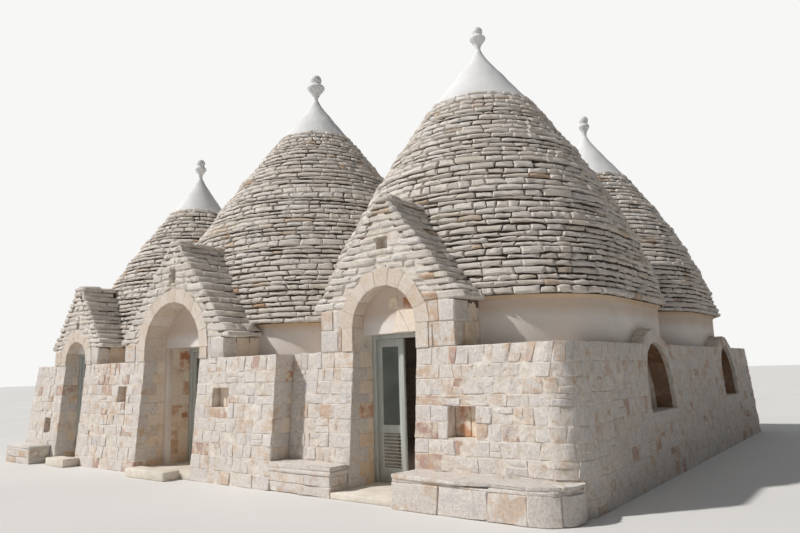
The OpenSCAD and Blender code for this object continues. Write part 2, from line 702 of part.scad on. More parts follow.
front_wall_left();
front_wall_middle();
front_wall_centre();
front_wall_seat();
front_wall_right();
right_wall_front();
right_wall_back();
back_wall_wing();
left_wall_wing();
back_wall_centre();
left_wall_centre();
back_wall_left();
left_wall();
drum_right();
drum_centre();
drum_left();
drum_back();
cone_right();
cone_centre();
cone_left();
cone_back();
caps();
finials();
porch_right();
porch_centre();
porch_left();
porch_roof_right();
porch_roof_centre();
porch_roof_left();
terrace();
arch_rings();
tympanums();
door_frames();
door_right_leaf_left();
door_right_leaf_right();
door_centre_leaf_left();
door_centre_leaf_right();
door_left_leaf();
window_frames();
window_glass();
floor();
thresholds();
benches();
steps();
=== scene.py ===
import math
import bpy
import numpy as np
from mathutils import Matrix, Vector


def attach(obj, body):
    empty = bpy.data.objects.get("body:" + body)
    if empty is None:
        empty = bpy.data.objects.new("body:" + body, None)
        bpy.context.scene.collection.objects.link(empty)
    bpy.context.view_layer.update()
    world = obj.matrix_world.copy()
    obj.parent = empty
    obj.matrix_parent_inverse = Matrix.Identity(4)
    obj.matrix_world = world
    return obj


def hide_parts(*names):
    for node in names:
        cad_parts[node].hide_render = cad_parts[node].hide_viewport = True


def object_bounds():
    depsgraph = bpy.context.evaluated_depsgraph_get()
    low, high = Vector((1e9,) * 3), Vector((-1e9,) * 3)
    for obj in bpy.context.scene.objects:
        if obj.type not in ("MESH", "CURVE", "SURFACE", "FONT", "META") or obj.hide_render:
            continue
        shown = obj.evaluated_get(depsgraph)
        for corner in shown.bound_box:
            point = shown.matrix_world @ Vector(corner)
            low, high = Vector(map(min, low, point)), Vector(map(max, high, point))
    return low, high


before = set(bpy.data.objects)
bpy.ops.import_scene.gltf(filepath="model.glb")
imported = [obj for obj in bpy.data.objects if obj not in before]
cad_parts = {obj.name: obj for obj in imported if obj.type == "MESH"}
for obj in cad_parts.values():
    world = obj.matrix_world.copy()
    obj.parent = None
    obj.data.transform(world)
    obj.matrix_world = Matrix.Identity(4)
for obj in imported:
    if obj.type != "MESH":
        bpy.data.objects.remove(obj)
cad_low, cad_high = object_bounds()

# Sizes and places of the masonry, in metres: the walls lean in by LEAN for each metre of height,
# the front wall steps forward left of STEP_X, and the corners at the right are round. The back
# steps in at the wing's left side, WING, at MAIN_BACK, and at the left end, END_X and END_BACK.
WALL_TOP = 1.9
LEAN = 0.15 / WALL_TOP
WEST, EAST, BACK = -6.1, 6.1, 5.65
FRONT, FRONT_RIGHT = -5.55, -5.2
STEP_X = 1.6
WING, MAIN_BACK = 0.93, 1.6
END_X, END_BACK = -4.25, -0.25
CORNER = 0.42
PARAPET = 0.3
JOINT = 0.008
LAP = 0.002

# The two windows: middles along the right wall, foot of the side stones, springing and radius of
# the arch, outer radius of the hood
WINDOWS = (2.98, 7.83)
WINDOW_FOOT, WINDOW_SPRING, WINDOW_R, HOOD_R = 0.93, 1.3, 0.64, 0.832

# The centre doorway's inner sides: front and back, foot, head, and width of the plaster strips
INNER_FRONT, INNER_BACK, INNER_FOOT, INNER_HEAD, STRIP = -4.98, -4.53, 0.08, 2.13, 0.09

# The benches: depth and rounded end of the right one, sides and front of the left one
BENCH = 0.45
LEFT_BENCH, LEFT_BENCH_Y = (-5.95, -4.95), -5.95

# The niches: middle, foot, width, height, front of the wall, and tints of their two kinds of stones
NICHES = [(-5.24, 0.56, 0.28, 0.3, FRONT, (0.9, 0.97)), (-2.5, 1.19, 0.28, 0.28, FRONT, (0.9, 0.8)),
          (0.36, 1.13, 0.4, 0.3, FRONT, (0.3, 0.5)), (4.58, 0.79, 0.4, 0.38, FRONT_RIGHT, (0.96, 0.9))]

# Radius of a cap's neck, and the angle under which edges are smooth or stay unsoftened
NECK = 0.045
SMOOTH_ANGLE = 40

# A cone: middle, half width and corner radius of its eaves, eave height, foot, radius and height
# of its plaster cap, width of the cup and height of the finial
CONE_RIGHT = dict(x=3.3, y=-2.0, half=2.55, corner=1.6, eave=2.55, cap=6.23, cap_r=0.89,
                  cap_h=1.22, cup=0.3, top=0.455)
CONE_CENTRE = dict(x=-1.0, y=-1.9, half=2.9, corner=1.7, eave=2.43, cap=6.7, cap_r=0.735,
                   cap_h=1.02, cup=0.4, top=0.605)
CONE_LEFT = dict(x=-3.95, y=-2.84, half=2.0, corner=1.15, eave=2.4, cap=5.39, cap_r=0.56,
                 cap_h=0.89, cup=0.27, top=0.475)
CONE_BACK = dict(x=3.54, y=2.46, half=2.26, corner=1.5, eave=2.57, cap=5.83, cap_r=0.79,
                 cap_h=1.12, cup=0.25, top=0.5)
CONES = [CONE_RIGHT, CONE_CENTRE, CONE_LEFT, CONE_BACK]
SIDES = ("right", "centre", "left", "back")

# A porch: middle, half width, gable foot, ridge, front face, half opening, arch centre, recess, its
# cone, foot, width and height of its vent, stones of its arch, heights of the gable's courses
PORCH_RIGHT = dict(x=3.34, half=1.15, foot=2.6, peak=4.05, y=-5.05, gap=0.55, arch=2.23, deep=0.22,
                   cone=CONE_RIGHT, vent=(3.29, 0.2, 0.17), stones=9, rows=(0.08, 0.11))
PORCH_CENTRE = dict(x=-1.06, half=1.43, foot=2.32, peak=3.98, y=-5.4, gap=0.81, arch=2.09, deep=0.42,
                    cone=CONE_CENTRE, vent=(3.23, 0.14, 0.26), stones=11, rows=(0.1, 0.135))
PORCH_LEFT = dict(x=-4.35, half=0.855, foot=2.32, peak=3.5, y=-5.4, gap=0.415, arch=1.96, deep=0.2,
                  cone=CONE_LEFT, vent=(2.62, 0.13, 0.13), stones=7, rows=(0.085, 0.12))
PORCHES = [PORCH_RIGHT, PORCH_CENTRE, PORCH_LEFT]

# Left and right sides of the doorways, and how far back the outer blocks reach in two of them
RIGHT_DOOR, CENTRE_DOOR, LEFT_DOOR = [(p["x"] - p["gap"], p["x"] + p["gap"]) for p in PORCHES]
RIGHT_DOOR_Y, LEFT_DOOR_Y = -4.64, -5.13

chance = np.random.default_rng(11)
LATTICE = np.random.default_rng(5).random((32, 32, 32))


# Smooth value noise between 0 and 1
def noise(points):
    cell = np.floor(points).astype(int)
    f = points - cell
    f = f * f * (3 - 2 * f)
    total = 0
    for i in (0, 1):
        for j in (0, 1):
            for k in (0, 1):
                w = np.abs(1 - i - f[:, 0]) * np.abs(1 - j - f[:, 1]) * np.abs(1 - k - f[:, 2])
                at = (cell + (i, j, k)) & 31
                total = total + w * LATTICE[at[:, 0], at[:, 1], at[:, 2]]
    return total


# Slow rise and fall of the bed joints, the same all round the house
def wave(course, along):
    a = math.sin(along * 1.7 + course * 2.1) * 0.5 + math.sin(along * 3.9 + course * 5.3) * 0.3
    return a + math.sin(along * 0.7 + course * 1.3) * 0.4


# Neighbours in a row of values, two by two
def pairs(values):
    return list(zip(values[:-1], values[1:]))


def deselect():
    if bpy.context.object and bpy.context.object.mode != "OBJECT":
        bpy.ops.object.mode_set(mode="OBJECT")
    bpy.ops.object.select_all(action="DESELECT")


def activate(piece):
    deselect()
    piece.select_set(True)
    bpy.context.view_layer.objects.active = piece


def edit():
    bpy.ops.object.mode_set(mode="EDIT")
    bpy.ops.mesh.select_all(action="SELECT")


def leave_edit():
    bpy.ops.object.mode_set(mode="OBJECT")


def linked(name, data):
    piece = bpy.data.objects.new(name, data)
    bpy.context.collection.objects.link(piece)
    return piece


def vertices_of(me):
    return np.array([v.co[:] for v in me.vertices])


# Gives a finished piece its one material and its body
def dress(piece, finish, body="house"):
    piece.data.materials.clear()
    piece.data.materials.append(finish)
    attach(piece, body)
    return piece


# Selects the edges or faces whose corners pass the test
def pick(piece, kind, test):
    bpy.ops.object.mode_set(mode="EDIT")
    bpy.ops.mesh.select_mode(type=kind)
    bpy.ops.mesh.select_all(action="DESELECT")
    leave_edit()
    me = piece.data
    for item in me.edges if kind == "EDGE" else me.polygons:
        item.select = test([me.vertices[i].co for i in item.vertices])
    bpy.ops.object.mode_set(mode="EDIT")


# Squared stone two metres across, softened round its front, or all round when it is whole: its
# points, the corners of its faces and where each face starts
def stone_shape(columns, rows, whole=False):
    deselect()
    bpy.ops.mesh.primitive_cube_add(size=2)
    block = bpy.context.object
    pick(block, "EDGE", lambda ends: whole or all(v.y < -0.9 for v in ends))
    bpy.ops.mesh.bevel(offset=0.3, segments=1)
    cuts = [((x, 0, 0), (1, 0, 0)) for x in np.linspace(-0.7, 0.7, columns + 1)[1:-1]]
    cuts += [((0, 0, z), (0, 0, 1)) for z in np.linspace(-0.7, 0.7, rows + 1)[1:-1]]
    for place, along in cuts:
        bpy.ops.mesh.select_all(action="SELECT")
        bpy.ops.mesh.bisect(plane_co=place, plane_no=along)
    if not whole:
        pick(block, "FACE", lambda ends: all(v.y > 0.9 for v in ends))
        bpy.ops.mesh.dissolve_faces()
    leave_edit()
    me = block.data
    points = vertices_of(me)
    loops = np.array([loop.vertex_index for loop in me.loops])
    starts = np.array([face.loop_start for face in me.polygons])
    bpy.data.objects.remove(block)
    return points, loops, starts, whole


# Looks of stones: softness of the edges, roughness of the faces and how far they bulge
WALL_LOOK = (0.007, 0.016, 0.003)
QUOIN_LOOK = (0.008, 0.013, 0.003)
BACK_CORNER_LOOK = (0.014, 0.009, 0.004)
REVEAL_LOOK = (0.006, 0.004, 0.001)
ROOF_LOOK = (0.02, 0.024, 0.008)
PORCH_LOOK = (0.014, 0.014, 0.004)
GABLE_LOOK = (0.024, 0.024, 0.008)
RIDGE_LOOK = (0.045, 0.028, 0.012)
ARCH_LOOK = (0.0035, 0.004, 0.001)
HOOD_LOOK = (0.004, 0.008, 0)
WINDOW_ARCH_LOOK = (0.003, 0.004, 0)
WINDOW_SIDE_LOOK = (0.003, 0.005, 0)
LINING_LOOK = (0.008, 0.006, 0.002)
INNER_LOOK = (0.005, 0.005, 0.001)
STRIP_LOOK = (0.004, 0.003, 0)
COVE_LOOK = (0.001, 0, 0)
TYMPANUM_LOOK = (0.006, 0.003, 0.001)
BENCH_LOOK = (0.007, 0.02, 0.005)
SEAT_LOOK = (0.007, 0.024, 0.002)


# Stones laid for one piece: eight corners, look and colour of each, the rusty ones only where the
# pile goes up to 1, and the bow of a stone on a round wall
class Pile:
    def __init__(self, most=1.0):
        self.corners, self.finish, self.tint, self.most = [], [], [], most

    def add(self, corners, look, bow=0.0, tint=None):
        self.corners.append(corners)
        self.finish.append((*look, bow))
        self.tint.append(chance.random() * self.most if tint is None else tint)


# Keeps a stone's softened edge the same width however long the stone is
def spread(t, half, soft):
    a = np.abs(t)
    return np.sign(t) * np.where(a <= 0.7, a / 0.7 * (half - soft), half - soft * (1 - a) / 0.3) / half


def unit(v):
    return v / np.maximum(np.linalg.norm(v, axis=-1, keepdims=True), 1e-9)


# Shares along a stone's length, depth and height of the points of its shape, from -1 to 1
def stone_shares(t, size, soft, whole):
    u = spread(t[None, :, 0], size[0] / 2, soft)
    w = spread(t[None, :, 2], size[2] / 2, soft)
    if whole:
        v = spread(t[None, :, 1], size[1] / 2, soft)
    else:
        v = np.where(t[None, :, 1] < -0.69, (t[None, :, 1] + 1) / 0.3 * soft,
                     soft + (t[None, :, 1] + 0.7) / 1.7 * (size[1] - soft)) / size[1] * 2 - 1
    return u, v, w


# Points of all the stones of a pile, rough and bulging, kept inside the CAD box
def stone_points(pile, t, whole):
    c = np.array(pile.corners)
    n, m = len(c), len(t)
    soft, rough, bulge, bow = np.array(pile.finish).T[:, :, None]
    right = (c[:, 1] + c[:, 5] - c[:, 0] - c[:, 4]) / 2
    back = (c[:, 2] + c[:, 3] - c[:, 0] - c[:, 1]) / 2
    up = (c[:, 4] + c[:, 5] - c[:, 0] - c[:, 1]) / 2
    size = [np.linalg.norm(v, axis=1)[:, None] for v in (right, back, up)]
    soft = np.minimum(soft, np.minimum(size[0], size[2]) * 0.3)
    shares = stone_shares(t, size, soft, whole)
    p = 0
    for i in range(8):
        weight = 1
        for k, share in enumerate(shares):
            weight = weight * (1 + (1 if i >> k & 1 else -1) * share) / 2
        p = p + weight[:, :, None] * c[:, i][:, None, :]
    seed = chance.random((n, 1, 3)) * 31
    coarse = noise((p * 6 + seed).reshape(-1, 3)).reshape(n, m) - 0.5
    fine = noise((p * 21 + seed).reshape(-1, 3)).reshape(n, m) - 0.5
    lump = coarse * 1.5 + fine * 1.3
    inside = t[None, :, 1] < 0.99
    axes = [unit(right), -unit(np.cross(right, up)), unit(up)]
    p = p - (bow * (1 - shares[0] ** 2))[:, :, None] * axes[1][:, None, :]
    for k, axis in enumerate(axes):
        edge = (np.abs(t[None, :, k]) > 0.99) * np.sign(t[None, :, k]) * (inside | whole)
        others = [share for j, share in enumerate(shares) if j != k]
        swell = bulge * (1 - others[0] ** 2) * (1 - others[1] ** 2) if (k == 1 or whole) else 0
        push = edge * (rough * lump * (1 if k == 1 else 0.8) + swell)
        p = p + push[:, :, None] * axis[:, None, :]
    return np.clip(p, np.array(cad_low), np.array(cad_high))


# One piece of all the stones of a pile, each stone with its tint and its shade
def build(name, pile, shape, finish):
    t, loops, starts, whole = shape
    p = stone_points(pile, t, whole)
    n, m = p.shape[:2]
    me = bpy.data.meshes.new(name)
    me.vertices.add(n * m)
    me.vertices.foreach_set("co", p.ravel())
    all_loops = (loops[None, :] + np.arange(n)[:, None] * m).ravel()
    me.loops.add(len(all_loops))
    me.polygons.add(n * len(starts))
    me.polygons.foreach_set("loop_start", (starts[None, :] + np.arange(n)[:, None] * len(loops)).ravel())
    me.polygons.foreach_set("vertices", all_loops)
    me.update(calc_edges=True)
    for label, values in (("tint", np.array(pile.tint)), ("shade", chance.random(n))):
        me.attributes.new(label, "FLOAT", "POINT").data.foreach_set("value", np.repeat(values, m))
    piece = linked(name, me)
    activate(piece)
    bpy.ops.object.shade_smooth_by_angle(angle=math.radians(34))
    return dress(piece, finish)


# Flat outer face of the masonry between two corners, leaning inwards as it rises
class Face:
    def __init__(self, x0, y0, x1, y1, lean=LEAN, before=(0, 0), after=(0, 0)):
        self.a, self.b = np.array([x0, y0], float), np.array([x1, y1], float)
        self.length = float(np.linalg.norm(self.b - self.a))
        t = (self.b - self.a) / self.length
        self.n = np.array([t[1], -t[0]])
        self.lean = lean
        self.before, self.after = np.array(before, float), np.array(after, float)

    def at(self, s, z, out=0.0):
        a = self.a + (self.before - self.lean * self.n) * z
        b = self.b + (self.after - self.lean * self.n) * z
        p = a + (b - a) * (s / self.length) + self.n * out
        return (p[0], p[1], z)


# Rounded corner of the masonry, a quarter turn
class Round:
    def __init__(self, x, y, r, start, lean=LEAN):
        self.x, self.y, self.r, self.start, self.lean = x, y, r, math.radians(start), lean
        self.length = r * math.pi / 2

    def at(self, s, z, out=0.0):
        a = self.start + s / self.length * math.pi / 2
        r = max(self.r - self.lean * z + out, 0.02)
        return (self.x + r * math.cos(a), self.y + r * math.sin(a), z)


# Several faces laid end to end, so that courses run on round the corners between them
class Run:
    def __init__(self, *faces):
        self.faces = faces
        self.length = sum(face.length for face in faces)
        self.lean = faces[0].lean

    def at(self, s, z, out=0.0):
        for face in self.faces[:-1]:
            if s <= face.length:
                return face.at(s, z, out)
            s -= face.length
        return self.faces[-1].at(s, z, out)


# Eight corners of a stone on a face: lefts and rights, heights, how proud, how deep
def on_face(face, sb, st, zb, zt, out, deep):
    c = []
    for ends, heights in ((sb, zb), (st, zt)):
        for proud in (out, out - deep):
            c += [face.at(s, z, proud) for s, z in zip(ends, heights)]
    return c


# Lays one upright block on a face
def lay_block(pile, face, s0, s1, z0, z1, out, deep, look, tint=None):
    pile.add(on_face(face, (s0, s1), (s0, s1), (z0, z0), (z1, z1), out, deep), look, tint=tint)


# Squared hole in a face
class Gap:
    def __init__(self, s0, s1, z0, z1):
        self.s0, self.s1, self.z0, self.z1 = s0, s1, z0, z1

    def sides(self, z):
        return (self.s0, self.s1)


# Hole with straight sides and a round head
class Arch:
    def __init__(self, middle, radius, spring, foot=0.0, grow=1.0):
        self.middle, self.radius, self.spring, self.grow = middle, radius, spring, grow
        self.z0, self.z1 = foot, spring + radius

    def sides(self, z):
        h = self.grow * math.sqrt(max(self.radius ** 2 - max(z - self.spring, 0) ** 2, 0))
        return (self.middle - h, self.middle + h)


# Free stretches of a course between the holes, each as its left and right ends below and above
def stretches(start, end, z0, z1, holes):
    ends = [(start, start)]
    for hole in sorted(holes, key=lambda h: h.sides(z0)[0]):
        if hole.z1 < z0 + 0.02 or hole.z0 > z1 - 0.02:
            continue
        low, high = hole.sides(z0), hole.sides(min(z1, hole.z1))
        ends += [(low[0], high[0]), (low[1], high[1])]
    ends.append((end, end))
    return [(ends[i], ends[i + 1]) for i in range(0, len(ends), 2)]


# Parts one stone into a lower and an upper one
def part(stone, share):
    sb, st, z0, z1 = stone
    middle = [a + (b - a) * share for a, b in zip(sb, st)]
    z = z0 + (z1 - z0) * share
    return [(sb, middle, z0, z), (middle, st, z, z1)]


# Stones over and under the squared holes of a course
def stones_at_gaps(holes, z0, z1):
    stones = []
    for hole in holes:
        if isinstance(hole, Gap) and hole.z0 < z1 - 0.02 and hole.z1 > z0 + 0.02:
            cuts = np.linspace(hole.s0, hole.s1, math.ceil((hole.s1 - hole.s0) / 0.45) + 1)
            for ends in pairs(cuts):
                if hole.z0 - z0 > 0.035:
                    stones.append((ends, ends, z0, hole.z0))
                if z1 - hole.z1 > 0.035:
                    stones.append((ends, ends, hole.z1, z1))
    return stones


# Stones of a course's free stretches: size is the least and greatest length, split the share of
# tall ones that are parted
def cut_stones(free, z0, z1, size, split):
    stones = []
    for left, right in free:
        width = max(right[0] - left[0], right[1] - left[1])
        if width < 0.03:
            continue
        count = max(1, round(width / chance.uniform(size[0] * 1.1, (size[0] + size[1]) / 2)))
        cuts = np.cumsum(np.r_[0, chance.uniform(size[0], size[1], count)])
        cuts /= cuts[-1]
        tilt = np.r_[0, chance.uniform(-0.018, 0.018, count - 1), 0] if count > 1 else np.zeros(2)
        for i in range(count):
            sb = [left[0] + (right[0] - left[0]) * cuts[j] + tilt[j] for j in (i, i + 1)]
            st = [left[1] + (right[1] - left[1]) * cuts[j] - tilt[j] for j in (i, i + 1)]
            stone = (sb, st, z0, z1)
            if z1 - z0 > 0.13 and sb[1] - sb[0] > 0.12 and chance.random() < split:
                stones += part(stone, chance.uniform(0.35, 0.65))
            else:
                stones.append(stone)
    return stones


# Lays course k of a face: out and deep say how proud and how deep its stones are, swing the waves of
# the beds and along where the course starts in them, loose how unevenly the joints and proud how
# unevenly the fronts lie, keep tests a stone's middle
def lay_course(pile, face, k, z0, z1, start, end, size, look, out, deep, holes=(), swing=0.012, along=0.0,
               keep=None, joint=JOINT, bed=JOINT, loose=0.004, split=0.0, proud=0.004):
    fillers = stones_at_gaps(holes, z0, z1)
    stones = cut_stones(stretches(start, end, z0, z1, holes), z0, z1, size, split)
    for i, (sb, st, za, zb) in enumerate(fillers + stones):
        free = i >= len(fillers)
        bottom = [za + (swing * wave(k, along + s) if za == z0 and k > 0 and free else 0) for s in sb]
        top = [zb + (swing * wave(k + 1, along + s) if zb == z1 and free else 0) for s in st]
        slip = chance.uniform(0, loose, 8) * ([0.5] * 4 + [1] * 4)
        low = [sb[0] + joint / 2 + slip[0], sb[1] - joint / 2 - slip[1]]
        high = [st[0] + joint / 2 + slip[2], st[1] - joint / 2 - slip[3]]
        high[1] = max(high[1], high[0] + 0.004)
        feet = [z + bed / 2 + e for z, e in zip(bottom, slip[4:6])]
        heads = [z - bed / 2 - e for z, e in zip(top, slip[6:])]
        corners = on_face(face, low, high, feet, heads, out + proud * chance.uniform(-1, 1), deep)
        if keep is None or keep(np.mean(corners, axis=0)):
            z = (za + zb) / 2
            ends = (np.array(face.at(sb[0], z)) + np.array(face.at(sb[1], z))) / 2
            bow = float(np.linalg.norm(np.array(face.at((sb[0] + sb[1]) / 2, z)) - ends))
            pile.add(corners, look, bow)


# Corner stone, long on one face and short on the other, each face with its own stand-out
def quoin(pile, before, after, k, z0, z1, a, b, look, out=(0.008, 0.008), swing=0.012, along=0.0):
    g = 0.003
    corners = []
    for z, course in ((z0, k), (z1, k + 1)):
        h = z + swing * wave(course, along) * (course > 0) + (g if course == k else -g)
        far_a = np.array(before.at(before.length - a + g, h, out[0]))
        far_b = np.array(after.at(b - g, h, out[1]))
        tip = np.array(before.at(before.length, h, out[0])) + np.r_[after.n * out[1], 0]
        corners += [far_a, tip, far_a + far_b - tip, far_b]
    pile.add(corners, look)


# Wedge stones of an arch on a face
def wedges(pile, face, middle, spring, inner, outer, count, look, out, deep, uneven=0.0, gap=0.0012):
    angles = np.radians(np.linspace(180, 0, count + 1))
    angles[1:-1] += chance.uniform(-0.05, 0.05, count - 1)
    for a0, a1 in pairs(angles):
        g = gap / inner
        c = []
        for r in (inner, outer + uneven * chance.random()):
            ring = [(middle + r * math.cos(a), spring + r * math.sin(a)) for a in (a0 - g, a1 + g)]
            for o in (out, out - deep):
                c += [face.at(s, z, o) for s, z in ring]
        pile.add(c, look)


# Upright blocks on both sides of an opening in a face, one between each two heights
def posts(pile, face, middle, inner, outer, heights, lap, out, deep, look):
    for s0, s1 in ((middle - outer, middle - inner), (middle + inner, middle + outer)):
        for z0, z1 in pairs(heights):
            lay_block(pile, face, s0, s1, z0 + lap, z1 - lap, out, deep, look)


# Half width and corner radius of a cone's ring at a height
def ring_at(cone, z):
    reach = (cone["half"] - cone["corner"]) * math.sqrt(2) + cone["corner"]
    f = min(max((z - cone["eave"]) / (cone["cap"] - cone["eave"]), 0), 1) * 7
    i = min(int(f), 6)
    rings = []
    for stage in (i, i + 1):
        t = (stage / 7) ** 1.25
        k = (1 - min(1, 1.6 * t)) ** 2
        big = reach + (cone["cap_r"] - reach) * t
        half = big - (reach - cone["half"]) * k
        rings.append((half, (half * math.sqrt(2) - big) / (math.sqrt(2) - 1)))
    (h0, r0), (h1, r1) = rings
    return h0 + (h1 - h0) * (f - i), r0 + (r1 - r0) * (f - i)


# How far outside a cone or its drum a point lies, negative inside
def outside(cone, p):
    if p[2] > cone["cap"] + 0.2:
        return 9.0
    half, r = ring_at(cone, p[2])
    if p[2] < cone["eave"]:
        half, r = cone["half"] - 0.08, cone["corner"] - 0.08
    q = np.abs([p[0] - cone["x"], p[1] - cone["y"]]) - (half - r)
    return float(np.hypot(*np.maximum(q, 0)) + min(max(q), 0) - r)


# Tells whether a point lies in one of the other cones
def in_other(cone, p, margin):
    return any(outside(other, p) < margin for other in CONES if other is not cone)


# Half width of a porch's gable at a height
def gable_at(porch, z):
    return porch["half"] * min(1, (porch["peak"] - z) / (porch["peak"] - porch["foot"]))


def in_porch(p, margin):
    return any(p[2] < porch["peak"] and porch["y"] < p[1] < porch["cone"]["y"]
               and abs(p[0] - porch["x"]) < gable_at(porch, p[2]) - margin for porch in PORCHES)


# One course of a cone, measured along its ring, its outer face steeper than the cone
class Ring:
    def __init__(self, cone, z0, z1, steep=0.85):
        self.cone, self.z0, self.z1 = cone, z0, z1
        self.low = ring_at(cone, z0)
        self.high = ring_at(cone, z0 + (z1 - z0) * steep)
        half, r = self.low
        self.length = 8 * (half - r) + 2 * math.pi * r

    def at(self, s, z, out=0.0):
        f = (z - self.z0) / (self.z1 - self.z0)
        f = min(max(f, -0.3), 1.3)
        half = self.low[0] + (self.high[0] - self.low[0]) * f
        r = self.low[1] + (self.high[1] - self.low[1]) * f
        turn = (s / self.length * 4) % 4
        side, q = int(turn), turn % 1
        flat = half - r
        d = q * (2 * flat + math.pi * r / 2)
        if d < flat:
            x, y, nx, ny = half, d, 1.0, 0.0
        elif d < flat + math.pi * r / 2:
            a = (d - flat) / r
            nx, ny = math.cos(a), math.sin(a)
            x, y = flat + r * nx, flat + r * ny
        else:
            x, y, nx, ny = 2 * flat + math.pi * r / 2 - d, half, 0.0, 1.0
        x, y = x + nx * out, y + ny * out
        for _ in range(side):
            x, y = -y, x
        return (self.cone["x"] + x, self.cone["y"] + y, z)


# Heights of the courses between two levels
def levels(low, high, small, large):
    count = max(1, round((high - low) / ((small + large) / 2)))
    steps = chance.uniform(small, large, count)
    return low + np.r_[0, np.cumsum(steps)] * (high - low) / steps.sum()


# How far the slabs stand out over the cone at a height: a little more over the foot of each band
def slab_out(cone, z):
    f = (z - cone["eave"]) / (cone["cap"] - cone["eave"]) * 7
    return 0.054 + 0.03 * max(0, 1 - 2.2 * (f % 1)) * (f < 6)


# Roof slabs of one cone, left out where another cone or a porch covers them
def roof_slabs(name, cone, finish, shape):
    pile = Pile()
    top = cone["cap"] + 0.01
    zs = levels(cone["eave"], top, 0.075, 0.12)

    def keep(p):
        return not in_other(cone, p, -0.1) and not in_porch(p, 0.12)
    for k, (z0, z1) in enumerate(pairs(zs)):
        ring = Ring(cone, z0, z1)
        rise = math.sin(math.pi * min(1, (z1 - cone["eave"]) / (top - cone["eave"])))
        half = ring.low[0]
        small, large = (0.2, 0.5) if half > 1.2 else (0.15, 0.34)
        start = chance.uniform(0, 1)
        lay_course(pile, ring, k, z0, z1, start, start + ring.length, (small, large), ROOF_LOOK,
                   out=slab_out(cone, (z0 + z1) / 2), deep=0.2, swing=0.022 * rise, keep=keep,
                   joint=0.003, bed=0.012 + 0.005 * (z0 - zs[0]) / (top - zs[0]), loose=0.012, proud=0.01)
    return build(name, pile, shape, finish)


# Heights of the wall's courses, all round the house
BEDS = [0, 0.19, 0.4, 0.59, 0.77, 0.97, 1.18, 1.31, 1.5, 1.67, 1.9]
COURSES = pairs(BEDS)


# A stretch of wall: its faces in order, with a corner stone after each of those in corners, the
# holes of each face, and where it starts in the waves of the beds. The upright faces are the sides
# of doorways, of bigger and smoother blocks.
def wall(name, faces, corners, holes, start, finish, smooth, shapes):
    flat, whole, reveal = Pile(), Pile(), Pile()
    for k, (z0, z1) in enumerate(COURSES):
        top = k == len(COURSES) - 1
        taken = [[0.0, 0.0] for _ in faces]
        along = start
        for i, face in enumerate(faces):
            if i in corners:
                nxt = faces[i + 1]
                long, short = chance.uniform(0.34, 0.46), chance.uniform(0.18, 0.26)
                a, b = (long, short) if (k + i) % 2 else (short, long)
                a, b = min(a, face.length * 0.55), min(b, nxt.length)
                taken[i][1], taken[i + 1][0] = a, b
                quoin(whole, face, nxt, k, z0, z1, a, b, QUOIN_LOOK, out=(0.005, 0.005),
                      along=along + face.length)
            along += face.length
        along = start
        for i, face in enumerate(faces):
            ends = (taken[i][0], face.length - taken[i][1])
            if face.lean == 0:
                lay_course(reveal, face, k, z0, z1, *ends, (0.3, 0.6), REVEAL_LOOK, out=0.006, deep=0.07,
                           along=along, loose=0.001)
            else:
                size = (0.13, 0.26) if top else (0.22, 0.5) if z1 - z0 < 0.15 else (0.15, 0.36)
                lay_course(flat, face, k, z0, z1, *ends, size, WALL_LOOK, holes=holes.get(i, ()), out=0.005,
                           deep=PARAPET - 0.01 if top else 0.08, along=along, split=0.15, joint=0.003,
                           bed=0.004, loose=0.006, proud=0.005)
            along += face.length
    build(name, flat, shapes[0], finish)
    build(name + "_corners", whole, shapes[1], finish)
    build(name + "_reveals", reveal, shapes[0], smooth)


def turned(face):
    return -face.n * face.lean


# Faces from point to point, each with its lean, that meet in shared edges
def chain(points, leans):
    faces = [Face(*a, *b, lean) for (a, b), lean in zip(pairs(points), leans)]
    for a, b in pairs(faces):
        a.after, b.before = turned(b), turned(a)
    return faces


# Hole of a niche in a face that starts at x
def niche_gap(niche, x):
    middle, foot, width, height = niche[:4]
    return Gap(middle - width / 2 - x, middle + width / 2 - x, foot, foot + height)


# Holes of the windows, each a round hood over a squared recess, in the right wall that starts at s
def window_gaps(start):
    holes = []
    half = WINDOW_R - 0.005
    for window in WINDOWS:
        s = start + window
        holes += [Arch(s, HOOD_R + 0.003, WINDOW_SPRING, WINDOW_SPRING),
                  Gap(s - half, s + half, WINDOW_FOOT, WINDOW_SPRING + 0.01)]
    return holes


# Corner of the back with the wing, where two chains of faces end
def back_corner(wing_back, side, finish, shape):
    pile = Pile()
    for k, (z0, z1) in enumerate(COURSES):
        a, b = (0.4, 0.22) if k % 2 else (0.24, 0.42)
        quoin(pile, wing_back, side, k, z0, z1, a, b, BACK_CORNER_LOOK, along=20)
    build("stones_back_corner", pile, shape, finish)


